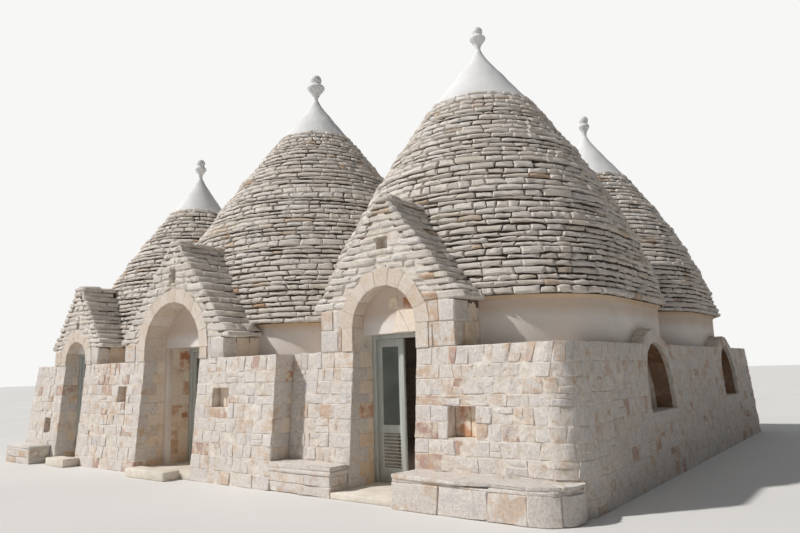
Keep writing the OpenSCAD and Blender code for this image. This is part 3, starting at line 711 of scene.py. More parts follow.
# The outer walls, in order round the house from the wing over the left end to the right front
def outer_walls(finish, smooth, shapes):
    left = chain([(WING, BACK), (WING, MAIN_BACK), (END_X, MAIN_BACK), (END_X, END_BACK), (WEST, END_BACK),
                  (WEST, FRONT), (LEFT_DOOR[0], FRONT), (LEFT_DOOR[0], LEFT_DOOR_Y)], [LEAN] * 6 + [0])
    wing_back = Face(EAST - CORNER, BACK, WING, BACK, LEAN, after=(LEAN, 0))
    left[0].before = turned(wing_back)
    middle = chain([(LEFT_DOOR[1], LEFT_DOOR_Y), (LEFT_DOOR[1], FRONT), (CENTRE_DOOR[0], FRONT),
                    (CENTRE_DOOR[0], INNER_FRONT)], [0, LEAN, 0])
    centre = chain([(CENTRE_DOOR[1], INNER_FRONT), (CENTRE_DOOR[1], FRONT), (STEP_X, FRONT),
                    (STEP_X, FRONT_RIGHT)], [0, LEAN, 0])
    centre[-1].after = np.array((0, LEAN))
    seat = chain([(STEP_X, FRONT_RIGHT), (RIGHT_DOOR[0], FRONT_RIGHT), (RIGHT_DOOR[0], RIGHT_DOOR_Y)],
                 [LEAN, 0])
    x, y0, y1 = EAST - CORNER, FRONT_RIGHT + CORNER, BACK - CORNER
    front = chain([(RIGHT_DOOR[1], RIGHT_DOOR_Y), (RIGHT_DOOR[1], FRONT_RIGHT), (x, FRONT_RIGHT)],
                  [0, LEAN])
    side = Face(EAST, y0, EAST, y1)
    near, far = Round(x, y0, CORNER, -90), Round(x, y1, CORNER, 0)
    run = Run(front[1], near, side, far, wing_back)
    run.n = front[1].n
    starts = [WEST, LEFT_DOOR[1], CENTRE_DOOR[1], RIGHT_DOOR[1]]
    holes = [[niche_gap(niche, start)] for niche, start in zip(NICHES, starts)]
    holes[3] += window_gaps(front[1].length + near.length)
    for name, faces, corners, gaps, start in (("stones_left_end", left, [1, 3, 4, 5], {5: holes[0]}, 20),
                                              ("stones_middle", middle, [0, 1], {1: holes[1]}, 3),
                                              ("stones_centre", centre, [0, 1], {1: holes[2]}, 7),
                                              ("stones_seat", seat, [0], {}, 10),
                                              ("stones_right", [front[0], run], [0], {1: holes[3]}, 12)):
        wall(name, faces, corners, gaps, start, finish, smooth, shapes)
    back_corner(wing_back, left[0], finish, shapes[1])
    return side


# Half width of a porch's stonework: upright sides, then slopes that stand out over them at the foot
def porch_reach(porch, z):
    over = 0.065 + 0.1 * max(0, 1 - (z - porch["foot"] + 0.1) / 0.22) if z > porch["foot"] - 0.1 else 0.01
    return gable_at(porch, z) + over


# Left side, front and right side of one course of a porch
def porch_faces(porch, z0, z1, back, upright):
    x, y = porch["x"], porch["y"]
    r0 = porch_reach(porch, z0 + 0.001)
    r1 = r0 if upright else porch_reach(porch, z0 + (z1 - z0) * 0.7)
    slope = (r0 - r1) / (z1 - z0)
    ground = r0 + slope * z0
    return (Face(x - ground, back, x - ground, y, slope),
            Face(x - ground, y, x + ground, y, 0, before=(slope, 0), after=(-slope, 0)),
            Face(x + ground, y, x + ground, back, slope))


# Slabs along the ridge of a porch
def ridge_stones(pile, porch, top, back, keep):
    x, y = porch["x"], porch["y"] - 0.015
    while y < back:
        step = chance.uniform(0.3, 0.5)
        c = []
        for z, w in ((top - 0.005, 0.2), (porch["peak"] - 0.004, 0.15)):
            for end in (y + 0.004, y + step):
                c += [(x - w, end, z), (x + w, end, z)]
        if keep(np.mean(c, axis=0)):
            pile.add(c, RIDGE_LOOK)
        y += step


# Blocks of a porch beside its arch, thin slabs in the gable and on the slopes, a slab ridge
def porch_stones(name, porch, finish, smooth, slabs, shapes):
    flat, whole, sides, gable, turns, ridge = [Pile(most) for most in (1, 0.95, 0.9, 1, 0.95, 0.95)]
    foot, top, back = porch["foot"] - 0.1, porch["peak"] - 0.1, porch["cone"]["y"] - 0.6
    ring = porch["gap"] + 0.2
    vent_z, vent_w, vent_h = porch["vent"]

    def keep(p):
        return outside(porch["cone"], p) > -0.08
    courses = pairs(levels(WALL_TOP, foot, 0.26, 0.34)) + pairs(levels(foot, top, *porch["rows"]))
    for k, (z0, z1) in enumerate(courses):
        upright = z1 < foot + 0.001
        left, front, right = porch_faces(porch, z0, z1, back, upright)
        r0, middle = porch_reach(porch, z0 + 0.001), front.length / 2
        grow = front.length / max(2 * r0, 0.1)
        holes = [Arch(middle, ring, porch["arch"], 0, grow),
                 Gap(middle - vent_w / 2 * grow, middle + vent_w / 2 * grow, vent_z, vent_z + vent_h)]
        wide, narrow = (0.34, 0.24) if upright else (0.42, 0.2)
        (la, fa), (fb, rb) = [(wide, narrow), (narrow, wide)] if k % 2 else [(narrow, wide), (wide, narrow)]
        limit = (r0 - ring) * 0.98 if z0 < porch["arch"] + 0.3 else r0 * 0.48
        fa, fb = min(fa, limit), min(fb, limit)
        piles = (whole, flat, sides) if upright else (turns, gable, gable)
        look = PORCH_LOOK if upright else GABLE_LOOK
        gaps = dict(joint=0.004, bed=0.006 if upright else 0.009, loose=0.003 if upright else 0.009)
        quoin(piles[0], left, front, k, z0, z1, la, fa * grow, look, out=(0.0, 0.016), along=5)
        quoin(piles[0], front, right, k, z0, z1, fb * grow, rb, look, out=(0.016, 0.0), along=8)
        size = (0.24, 0.34) if upright else (0.2, 0.5)
        lap = 0.0 if upright else 0.035
        lay_course(piles[1], front, k, z0, z1, (fa - lap) * grow, front.length - (fb - lap) * grow,
                   (size[0] * grow, size[1] * grow), look, out=0.012, deep=0.1, holes=holes, proud=0.007,
                   **gaps)
        for face, ends in ((left, (0, left.length - la + lap)), (right, (rb - lap, right.length))):
            lay_course(piles[2], face, k, z0, z1, *ends, size, look, out=0.0, deep=0.24, keep=keep,
                       proud=0.01, **gaps)
    ridge_stones(ridge, porch, top, back, keep)
    build(name + "_blocks", flat, shapes[0], finish)
    build(name + "_corner_blocks", whole, shapes[1], finish)
    build(name + "_sides", sides, shapes[0], smooth)
    build(name + "_slabs", gable, shapes[0], slabs)
    build(name + "_corner_slabs", turns, shapes[1], slabs)
    build(name + "_ridge", ridge, shapes[1], slabs)


# Smooth dressed stones of the three porch arches, straight feet and round heads
def arch_stones(finish, shape):
    pile = Pile()
    for porch in PORCHES:
        face = Face(porch["x"] - 3, porch["y"], porch["x"] + 3, porch["y"], 0)
        g = porch["gap"] - 0.003
        depth = porch["deep"] + 0.02
        wedges(pile, face, 3.0, porch["arch"], g, g + 0.2, porch["stones"], ARCH_LOOK, 0.02, depth, 0.05)
        heights = np.linspace(WALL_TOP, porch["arch"], max(1, round((porch["arch"] - WALL_TOP) / 0.3)) + 1)
        posts(pile, face, 3.0, g, g + 0.2, heights, LAP, 0.02, depth, ARCH_LOOK)
    piece = build("arch_stones", pile, shape, finish)
    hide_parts("arch_rings")


# Hoods round the two windows in the right wall, and brown blocks in their niches, their tones darkened as
# painted shade of the deep recesses
def window_stones(side, finish, dark, shape):
    pile, jambs = Pile(), Pile()
    inner, outer, out, deep = WINDOW_R - 0.02, WINDOW_R + 0.08, -0.06, 0.24
    heights = (WINDOW_FOOT, (WINDOW_FOOT + WINDOW_SPRING) / 2 - 0.005, WINDOW_SPRING)
    for middle in WINDOWS:
        wedges(pile, side, middle, WINDOW_SPRING, WINDOW_R, HOOD_R, 11, HOOD_LOOK, 0.012, 0.1)
        wedges(jambs, side, middle, WINDOW_SPRING, inner, outer, 6, WINDOW_ARCH_LOOK, out, deep, gap=-0.004)
        posts(jambs, side, middle, inner, outer, heights, -LAP, out, deep, WINDOW_SIDE_LOOK)
    build("window_hood_stones", pile, shape, finish)
    # The niche blocks take the brown material darkened with painted shade
    build("window_side_stones", jambs, shape, dark)


# Back and side blocks of the small square niches in the front walls
def niche_stones(finish, shape):
    pile = Pile()
    for x, z, w, h, y, tints in NICHES:
        front = y + LEAN * (z + h / 2)
        depth = y + 0.25 - front
        face = Face(x - w / 2, front + depth, x + w / 2, front + depth, 0)
        split = w * chance.uniform(0.3, 0.6)
        for s0, s1, tint in ((0.004, split - 0.002, tints[0]), (split + 0.002, w - 0.004, tints[1])):
            lay_block(pile, face, s0, s1, z + 0.004, z + h - 0.004, 0.012, 0.03, LINING_LOOK, tint)
        side = Face(x + w / 2, front + depth, x + w / 2, front + 0.03, 0)
        for z0, z1, tint in ((z + 0.004, z + h * 0.55, tints[1]), (z + h * 0.57, z + h - 0.004, tints[0])):
            ends = (0.004, side.length - 0.01), (0.004, side.length - 0.02)
            pile.add(on_face(side, *ends, (z0, z0), (z1, z1), 0.0, 0.03), REVEAL_LOOK, tint=tint)
    build("niche_linings", pile, shape, finish)


# Smooth blocks of the centre doorway's inner sides, behind a narrow strip of white plaster
def inner_jambs(finish, plaster, shape):
    blocks, strip = Pile(), Pile()
    left, right = CENTRE_DOOR[0], CENTRE_DOOR[1] - STRIP
    for x, y0, y1 in ((left + STRIP, INNER_FRONT, INNER_BACK), (right, INNER_BACK, INNER_FRONT)):
        face = Face(x, y0, x, y1, 0)
        near, far = (STRIP, face.length) if y0 < y1 else (0.0, face.length - STRIP)
        z = INNER_FOOT
        while z < INNER_HEAD - 0.01:
            z1 = min(z + chance.uniform(0.16, 0.26), INNER_HEAD)
            middle = chance.uniform(0.35, 0.65) * (far - near) + near
            for s0, s1 in ((near, middle), (middle, far)):
                tint = chance.choice((0.1, 0.3, 0.5, 0.7, 0.85, 0.93, 0.99))
                lay_block(blocks, face, s0 + LAP, s1 - LAP, z + LAP, z1 - LAP, 0.006, 0.03, INNER_LOOK, tint)
            z = z1
        s0 = 0.0 if y0 < y1 else far
        lay_block(strip, face, s0, s0 + STRIP, INNER_FOOT, INNER_HEAD, 0.01, 0.03, HOOD_LOOK)
    for x in (left, right):
        front = Face(x, INNER_FRONT, x + STRIP, INNER_FRONT, 0)
        lay_block(strip, front, 0, STRIP, INNER_FOOT, INNER_HEAD, 0.008, 0.03, STRIP_LOOK)
    build("centre_door_inner_sides", blocks, shape, finish)
    build("centre_door_plaster_strips", strip, shape, plaster)


# Rounded plaster fillet between each drum and the slabs that stand out over it
def eave_coves(finish, shape):
    pile = Pile()
    for cone in CONES:
        ring = Ring(cone, cone["eave"] - 0.08, cone["eave"] + 0.02, 0)
        count = round(ring.length / 0.3)
        for i in range(count):
            s = [ring.length * i / count - 0.002, ring.length * (i + 1) / count + 0.002]
            c = []
            for z, out in ((cone["eave"] - 0.05, -0.077), (cone["eave"] + 0.012, -0.01)):
                for o in (out, -0.16):
                    c += [ring.at(t, z, o) for t in s]
            if not in_other(cone, np.mean(c, axis=0), -0.02):
                pile.add(c, COVE_LOOK)
    build("eave_coves", pile, shape, finish)


# Odd stones set in the plaster over the right door, as corners measured from its middle
def tympanum_stones(finish, shape):
    pile = Pile()
    y = PORCH_RIGHT["y"] + PORCH_RIGHT["deep"]
    face = Face(PORCH_RIGHT["x"] - 3, y, PORCH_RIGHT["x"] + 3, y, 0)
    for low, high, feet, heads, tint in (((-0.01, 0.29), (0.08, 0.1), (2.135, 2.135), (2.43, 2.44), 0.1),
                                         ((0.31, 0.55), (0.12, 0.5), (2.135, 2.135), (2.435, 2.43), 0.3),
                                         ((0.18, 0.36), (0.19, 0.33), (2.46, 2.45), (2.61, 2.58), 0.99),
                                         ((-0.08, 0.1), (-0.06, 0.08), (2.46, 2.46), (2.62, 2.64), 0.84)):
        pile.add(on_face(face, [3 + x for x in low], [3 + x for x in high], feet, heads, 0.008, 0.03),
                 TYMPANUM_LOOK, tint=tint)
    build("tympanum_stones", pile, shape, finish)


# Door leaf with softened edges, its pane of glass told from the paint
def door_leaf(node, body, paint, glass):
    piece = copy_of(node + "_painted", node, paint, soft=0.003, body=body)
    me = piece.data
    me.materials.append(glass)
    co = vertices_of(me)
    low, high = co.min(axis=0), co.max(axis=0)
    thin = 0 if high[0] - low[0] < high[1] - low[1] else 1
    middle = (low[thin] + high[thin]) / 2
    for polygon in me.polygons:
        corners = co[list(polygon.vertices)]
        if np.abs(corners[:, thin] - middle).max() < 0.0055 and corners[:, 2].min() > low[2] + 0.75:
            polygon.material_index = 1


# Benches of big rough stones under thick smooth slabs, laid in two layers: seats tells which faces
# the slabs reach back from, and how far
def bench_stones(finish, shapes):
    under, slabs = Pile(0.92), Pile(0.3)

    def bench(corners, top, seats, slab, courses, *more):
        faces = [Face(*a, *b, 0) for a, b in pairs(corners)] + list(more)
        zs = np.linspace(0, top - slab, courses + 1)
        for k, (z0, z1) in enumerate(pairs(zs)):
            for face in faces:
                size = (0.3, 0.4) if isinstance(face, Round) else (0.4, 0.75)
                lay_course(under, face, k, z0, z1, 0, face.length, size, BENCH_LOOK, out=-0.004, deep=0.2,
                           swing=0.006, joint=0.002, bed=0.004, proud=0.01)
        for i, deep in seats.items():
            size = (0.3, 0.4) if isinstance(faces[i], Round) else (0.9, 1.3)
            for out, z0, z1 in ((-0.008, top - slab, top - slab * 0.55), (-0.002, top - slab * 0.55, top)):
                lay_course(slabs, faces[i], 0, z0, z1, 0, faces[i].length, size, SEAT_LOOK, out=out,
                           deep=deep, swing=0, joint=0.0, bed=0.002, loose=0.002, proud=0.004)
    near, far, y = RIGHT_DOOR[1], EAST - BENCH, FRONT_RIGHT - BENCH
    bench([(near, FRONT_RIGHT), (near, y), (far, y)], 0.4, {1: BENCH, 2: BENCH - 0.02}, 0.09, 1,
          Round(far, FRONT_RIGHT, BENCH, -90, 0))
    x = RIGHT_DOOR[0]
    bench([(STEP_X, FRONT), (x, FRONT), (x, FRONT_RIGHT)], 0.4, {0: 0.36}, 0.13, 2)
    (x0, x1), y = LEFT_BENCH, LEFT_BENCH_Y
    bench([(x0, FRONT), (x0, y), (x1, y), (x1, FRONT)], 0.34, {1: 0.41}, 0.09, 2)
    build("bench_stones", under, shapes[0], finish)
    build("bench_slabs", slabs, shapes[1], finish)


# Joined copy of a CAD node, softened or drawn in, that stands for it
def copy_of(name, node, finish, soft=0.0, shrink=0.0, body="house"):
    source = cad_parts[node]
    piece = linked(name, source.data.copy())
    activate(piece)
    edit()
    bpy.ops.mesh.remove_doubles(threshold=0.00005)
    if shrink:
        bpy.ops.transform.shrink_fatten(value=-shrink)
    bpy.ops.mesh.select_all(action="SELECT")
    bpy.ops.mesh.dissolve_limited(angle_limit=math.radians(0.5))
    leave_edit()
    if soft:
        bevel = piece.modifiers.new("edges", "BEVEL")
        bevel.width, bevel.segments, bevel.angle_limit = soft, 2, math.radians(SMOOTH_ANGLE)
        bpy.ops.object.modifier_apply(modifier="edges")
    bpy.ops.object.shade_smooth_by_angle(angle=math.radians(SMOOTH_ANGLE))
    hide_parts(node)
    return dress(piece, finish, body)


# Turned plaster piece: a profile of radius and height spun round a cone's middle
def turned_piece(profile, x, y, base):
    deselect()
    bpy.ops.mesh.primitive_plane_add(size=1)
    piece = bpy.context.object
    edit()
    bpy.ops.mesh.delete(type="VERT")
    leave_edit()
    me = piece.data
    me.vertices.add(len(profile))
    me.vertices.foreach_set("co", np.array([(x + r, y, base + z) for r, z in profile]).ravel())
    me.edges.add(len(profile) - 1)
    me.edges.foreach_set("vertices", np.array([(i, i + 1) for i in range(len(profile) - 1)]).ravel())
    me.update()
    activate(piece)
    edit()
    bpy.ops.mesh.spin(steps=64, angle=2 * math.pi, center=(x, y, 0), axis=(0, 0, 1))
    bpy.ops.mesh.select_all(action="SELECT")
    bpy.ops.mesh.remove_doubles(threshold=0.0005)
    bpy.ops.mesh.select_all(action="SELECT")
    bpy.ops.mesh.normals_make_consistent(inside=False)
    leave_edit()
    bpy.ops.object.shade_smooth_by_angle(angle=math.radians(35))
    return piece


# Joins parts to one piece that stands for a CAD node
def join(name, parts, finish, node):
    activate(parts[0])
    for part in parts:
        part.select_set(True)
    bpy.ops.object.join()
    piece = bpy.context.object
    piece.name = name
    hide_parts(node)
    dress(piece, finish)


# Goblet and ball of a finial, the ball set into the cup
def goblet(w, top):
    heights = [0.02, 0.1, 0.18, 0.26, 0.33, 0.39, 0.44, 0.48, 0.52, 0.56, 0.6]
    widths = [NECK, NECK * 1.05] + [k * w for k in (0.4, 0.54, 0.7, 0.85, 0.96, 1, 0.96, 0.84, 0.66)]
    cup = [(r, h * top) for r, h in zip(widths, heights)]
    turn = np.linspace(0.95, math.pi, 12)
    ball = [(0.21 * top * math.sin(a), (0.79 - 0.21 * math.cos(a)) * top) for a in turn]
    return [(0, -0.02), (NECK, -0.02)] + cup + ball


# Lets the foot of a cap run down unevenly over the last slabs, and its sides be lumpy
def wear_cap(me, cone):
    co = vertices_of(me)
    middle = np.array((cone["x"], cone["y"]))
    height = co[:, 2] - cone["cap"]
    away = np.hypot(co[:, 0] - cone["x"], co[:, 1] - cone["y"])
    low = np.clip((0.12 - height) / 0.22, 0, 1) * (away > cone["cap_r"] * 0.6)
    drop = (noise(co * 3.1) - 0.5) * 0.12 + (noise(co * 9.0 + 5) - 0.5) * 0.05
    co[:, 2] += low * drop
    lumps = (noise(co * 7.0) - 0.5) * 0.02 * np.clip(away / 0.3, 0, 1)
    out = (away + lumps - low * drop * 0.7) / np.maximum(away, 1e-6)
    co[:, :2] = middle + (co[:, :2] - middle) * out[:, None]
    me.vertices.foreach_set("co", co.ravel())


# Plaster caps sweeping up to thin necks, and the finials on them
def caps_and_finials(finish):
    caps, finials = [], []
    for cone in CONES:
        r, high = cone["cap_r"], cone["cap_h"]
        rise = np.linspace(0.02, 1, 16)
        steep = [(r + 0.04 - NECK) * (1 - u / 0.93) for u in rise]
        sides = [(NECK + (a + math.hypot(a, 0.07)) / 2, high * u) for a, u in zip(steep, rise)]
        sides[-1] = (NECK, high)
        foot = [(0, 0), (r, 0), (r + 0.085, -0.1), (r + 0.095, -0.09), (r + 0.07, -0.04)]
        cap = turned_piece(foot + sides + [(0, high + 0.001)], cone["x"], cone["y"], cone["cap"])
        wear_cap(cap.data, cone)
        caps.append(cap)
        finials.append(turned_piece(goblet(cone["cup"] / 2, cone["top"]), cone["x"], cone["y"],
                                    cone["cap"] + high))
    join("plaster_caps", caps, finish, "caps")
    join("plaster_finials", finials, finish, "finials")


# Node tree of a material, a group or the sky, with short ways to add and link its nodes. Tones are
# red, green and blue from 0 to 255 as a screen shows them.
class Sheet:
    def __init__(self, tree, material=None):
        self.tree, self.material = tree, material

    def add(self, kind, inputs=None, **settings):
        node = self.tree.nodes.new(kind)
        for key, value in settings.items():
            setattr(node, key, value)
        for key, value in (inputs or {}).items():
            socket = node.inputs[key]
            if isinstance(value, bpy.types.NodeSocket):
                self.tree.links.new(value, socket)
            else:
                socket.default_value = value
        return node

    def math(self, how, a, b):
        return self.add("ShaderNodeMath", {0: a, 1: b}, operation=how).outputs[0]

    # Turns a value into tones, or into plain numbers where the stops have those
    def ramp(self, value, stops):
        node = self.add("ShaderNodeValToRGB", {0: value})
        while len(node.color_ramp.elements) < len(stops):
            node.color_ramp.elements.new(0.5)
        for element, (place, tone) in zip(node.color_ramp.elements, stops):
            element.position = place
            element.color = solid(*tone) if isinstance(tone, tuple) else (tone, tone, tone, 1)
        return node.outputs[0]

    # Goes from 0 at low to most at high
    def fade(self, value, low, high, most=1.0):
        return self.ramp(value, sorted([(low, 0.0), (high, most)]))

    def range(self, value, low, high, first, last):
        return self.add("ShaderNodeMapRange", {"Value": value, "From Min": low, "From Max": high,
                                               "To Min": first, "To Max": last}).outputs[0]

    def mix(self, share, below, above, blend="MIX"):
        above = solid(*above) if isinstance(above, tuple) else above
        node = self.add("ShaderNodeMix", {0: share, 6: below, 7: above}, data_type="RGBA", blend_type=blend)
        return node.outputs[2]

    # Lays a tone with its share where each of the named masks of the grain is dark
    def dirt(self, below, grain, **masks):
        for label, (share, tone) in masks.items():
            dark = self.math("SUBTRACT", 1.0, grain[label])
            below = self.mix(self.math("MULTIPLY", dark, share), below, tone)
        return below

    def coords(self):
        return self.add("ShaderNodeTexCoord").outputs["Object"]

    def axis(self, place, index):
        return self.add("ShaderNodeSeparateXYZ", {0: place}).outputs[index]

    def noise(self, place, scale, detail, rough=0.5):
        return self.add("ShaderNodeTexNoise", {"Vector": place, "Scale": scale, "Detail": detail,
                                               "Roughness": rough}).outputs["Fac"]

    # Value that each stone carries in its mesh
    def stored(self, label):
        return self.add("ShaderNodeAttribute", attribute_name=label).outputs["Fac"]

    def grain(self, tree, scale, stretch=1.0):
        return self.add("ShaderNodeGroup", {"Scale": scale, "Stretch": stretch}, node_tree=tree).outputs

    # Ends a material: its shader, with a bump where a height is given
    def surface(self, colour, rough, height=None, depth=0.01, strength=0.6, specular=0.3):
        inputs = {"Base Color": colour, "Roughness": rough, "Specular IOR Level": specular}
        if height is not None:
            inputs["Normal"] = self.add("ShaderNodeBump", {"Height": height, "Strength": strength,
                                                           "Distance": depth}).outputs[0]
        shader = self.add("ShaderNodeBsdfPrincipled", inputs)
        self.add("ShaderNodeOutputMaterial", {"Surface": shader.outputs[0]})
        return self.material


def solid(*tone):
    linear = [v / 255 / 12.92 if v < 10.3 else ((v / 255 + 0.055) / 1.055) ** 2.4 for v in tone]
    return (*linear, 1)


def new_material(name):
    mat = bpy.data.materials.new(name)
    mat.use_nodes = True
    mat.node_tree.nodes.clear()
    return Sheet(mat.node_tree, mat)


# Group: weathered stone grain, as a soft mottle, fine speckles, pits, grit and a height
def grain_group():
    tree = bpy.data.node_groups.new("stone grain", "ShaderNodeTree")
    for label in ("Scale", "Stretch"):
        socket = tree.interface.new_socket(name=label, in_out="INPUT", socket_type="NodeSocketFloat")
        socket.default_value = 1
    for label in ("Mottle", "Speckle", "Pits", "Height", "Grit"):
        tree.interface.new_socket(name=label, in_out="OUTPUT", socket_type="NodeSocketFloat")
    s = Sheet(tree)
    scale, stretch = s.add("NodeGroupInput").outputs[:2]
    size = s.add("ShaderNodeCombineXYZ", {0: scale, 1: scale, 2: s.math("MULTIPLY", scale, stretch)})
    sized = s.add("ShaderNodeVectorMath", {0: s.coords(), 1: size.outputs[0]}, operation="MULTIPLY")
    place = sized.outputs[0]
    fine = s.noise(place, 26.0, 6.0, 0.75)
    cells = s.add("ShaderNodeTexVoronoi", {"Vector": place, "Scale": 34.0, "Randomness": 1.0}, feature="F1")
    rim = s.math("ADD", cells.outputs["Distance"], s.math("MULTIPLY", fine, 0.9))
    pits, speckle = s.fade(rim, 0.42, 0.62), s.fade(fine, 0.38, 0.62)
    high = s.math("ADD", s.math("MULTIPLY", speckle, 0.6), s.math("MULTIPLY", pits, 0.4))
    s.add("NodeGroupOutput", {"Mottle": s.noise(place, 6.0, 5.0, 0.62), "Speckle": speckle, "Pits": pits,
                              "Height": high, "Grit": s.fade(s.noise(place, 62.0, 3.0, 0.7), 0.36, 0.64)})
    return tree


# Rough squared limestone: white and cream blocks with ochre patches, a few rusty ones
def wall_stone(grain):
    s = new_material("rough limestone blocks")
    tint, g = s.stored("tint"), s.grain(grain, 1.0, 0.8)
    tone = s.ramp(tint, [(0.0, (244, 239, 232)), (0.25, (241, 233, 225)), (0.45, (234, 228, 224)),
                         (0.65, (242, 232, 220)), (0.85, (242, 236, 229)), (1.0, (234, 219, 200))])
    rust = s.ramp(tint, [(0.88, (214, 168, 118)), (0.93, (196, 134, 82)), (0.965, (184, 124, 102)),
                         (1.0, (158, 88, 58))])
    rusty = s.ramp(tint, [(0.84, 0.0), (0.88, 0.8), (0.95, 1.0)])
    drift = s.math("ADD", s.noise(s.coords(), 5.2, 6.0, 0.7), s.math("MULTIPLY", s.stored("shade"), 0.16))
    tone = s.mix(s.math("MULTIPLY", rusty, s.fade(g["Mottle"], 0.42, 0.56)), tone, rust)
    tone = s.mix(s.fade(drift, 0.63, 0.76, 0.75), tone, (214, 172, 124))
    tone = s.mix(s.fade(g["Mottle"], 0.5, 0.68, 0.5), tone, (248, 245, 240))
    tone = s.mix(s.fade(drift, 0.5, 0.38, 0.55), tone, (208, 203, 204))
    tone = s.dirt(tone, g, Speckle=(0.4, (191, 181, 174)), Grit=(0.4, (178, 168, 161)),
                  Pits=(0.8, (150, 126, 107)))
    return s.surface(tone, 0.95, g["Height"], 0.01, 0.9, 0.1)


# Roof slabs: pale weathered limestone, white where lime has run and grey where it is damp
def roof_stone(grain):
    s = new_material("weathered roof slabs")
    shade, g = s.stored("shade"), s.grain(grain, 0.9, 1.5)
    tone = s.ramp(s.stored("tint"), [(0.0, (236, 227, 216)), (0.4, (243, 235, 226)),
                                     (0.7, (247, 241, 234)), (0.96, (240, 229, 215)),
                                     (0.985, (224, 203, 180)), (1.0, (206, 170, 138))])
    lime = s.fade(s.noise(s.coords(), 2.2, 7.0, 0.72), 0.5, 0.66, 0.7)
    damp = s.fade(s.math("ADD", g["Mottle"], s.math("MULTIPLY", shade, 0.18)), 0.6, 0.8, 0.55)
    tone = s.mix(lime, tone, (248, 245, 240))
    tone = s.mix(damp, tone, (186, 176, 166))
    tone = s.mix(1.0, tone, s.ramp(shade, [(0.0, 0.86), (0.5, 1.0)]), "MULTIPLY")
    tone = s.dirt(tone, g, Speckle=(0.22, (172, 161, 150)), Grit=(0.2, (156, 145, 134)),
                  Pits=(0.45, (116, 103, 92)))
    return s.surface(tone, 0.95, g["Height"], 0.012, 0.9, 0.1)


# Smooth dressed limestone of the porch arches, hardly jointed
def dressed_stone(grain):
    s = new_material("smooth dressed limestone")
    g = s.grain(grain, 1.1)
    tone = s.ramp(s.stored("tint"), [(0.0, (240, 232, 222)), (0.5, (232, 220, 206)), (1.0, (242, 236, 228))])
    tone = s.mix(s.fade(g["Mottle"], 0.48, 0.66, 0.6), tone, (222, 198, 170))
    tone = s.dirt(tone, g, Speckle=(0.4, (190, 168, 148)), Grit=(0.3, (176, 156, 138)))
    return s.surface(tone, 0.9, g["Height"], 0.009, 0.8, 0.1)


# Smooth blocks at the sides of doorways and niches, now and then a red one; the ochre low down is painted
# warm light bounced up from the ground
def reveal_stone(grain, name, tones):
    s = new_material(name)
    g = s.grain(grain, 1.1)
    tone = s.ramp(s.stored("tint"), list(zip((0.0, 0.35, 0.6, 0.88, 0.95, 1.0), tones)))
    tone = s.mix(s.fade(g["Mottle"], 0.4, 0.56), solid(*tones[1]), tone)
    # Painted warm bounce light: an ochre share rising towards the ground
    tone = s.mix(s.range(s.axis(s.coords(), 2), 0.0, 0.9, 0.4, 0.0), tone, (206, 164, 120))
    tone = s.mix(s.fade(g["Mottle"], 0.52, 0.75, 0.6), tone, (196, 158, 120))
    tone = s.dirt(tone, g, Speckle=(0.2, (172, 142, 112)))
    return s.surface(tone, 0.92, g["Height"], 0.008, 0.6, 0.15)


# Sandy mortar between the stones, in places nearly as pale as they are
def mortar(grain):
    s = new_material("sandy lime mortar")
    g = s.grain(grain, 1.3)
    tone = s.ramp(g["Mottle"], [(0.3, (196, 182, 166)), (0.5, (222, 212, 201)), (0.7, (240, 233, 224))])
    return s.surface(tone, 0.97, g["Height"], 0.008, 0.7, 0.1)


# Near-black bed under the roof slabs, painted shade of the deep gaps between them; mortar-coloured in the
# gable fronts and at the porches' eaves
def painted_gap_shade_bed(grain):
    s = new_material("painted shade in the roof slab gaps")
    g = s.grain(grain, 1.2)
    place = s.coords()
    y, z = s.axis(place, 1), s.axis(place, 2)
    eaves = s.math("MULTIPLY", s.math("LESS_THAN", y, -4.3), s.math("LESS_THAN", z, 2.68))
    front = s.math("MAXIMUM", s.math("LESS_THAN", y, -4.95), eaves)
    # Near-black tones: painted shade in the gaps between the slabs, with the mortar tone where front is set
    tone = s.mix(front, s.ramp(g["Mottle"], [(0.3, (58, 51, 45)), (0.7, (96, 86, 76))]), (112, 99, 86))
    return s.surface(tone, 0.97, g["Height"], 0.006, 0.6, 0.1)


# Lime plaster between two tones, brushed; between two heights given, with a cool band of painted bluish
# shade above the lower one and a warm band below the higher one
def lime_plaster(grain, name, tones, low=0, high=0):
    s = new_material(name)
    g = s.grain(grain, 0.5)
    place = s.coords()
    tone = s.ramp(s.noise(place, 1.3, 6.0, 0.62), list(zip((0.35, 0.65), tones)))
    if high:
        lift = s.math("ADD", s.axis(place, 2), s.math("MULTIPLY", g["Mottle"], 0.1))
        tone = s.mix(s.range(lift, high - 0.1, high + 0.06, 0.0, 0.5), tone, (196, 166, 134))
        # Painted bluish shade just above the lower height, where the drum rises from the parapet
        tone = s.mix(s.range(lift, low + 0.02, low + 0.2, 0.55, 0.0), tone, (172, 172, 180))
    tone = s.dirt(tone, g, Pits=(0.18, (150, 140, 130)))
    return s.surface(tone, 0.9, g["Height"], 0.003, 0.5, 0.2)


# Old grey-green paint on wood
def painted_wood(grain):
    s = new_material("grey-green door paint")
    g = s.grain(grain, 2.0, 0.15)
    tone = s.ramp(g["Mottle"], [(0.3, (178, 183, 179)), (0.7, (193, 197, 193))])
    return s.surface(tone, 0.5, g["Height"], 0.0006, 0.4, 0.4)


# Panes, dark from the rooms behind them
def pane_glass():
    s = new_material("dark window glass")
    ripple = s.noise(s.coords(), 3.0, 1.0)
    tone = s.ramp(ripple, [(0.3, (92, 100, 96)), (0.7, (110, 118, 113))])
    return s.surface(tone, 0.12, ripple, 0.002, 0.2, 0.5)


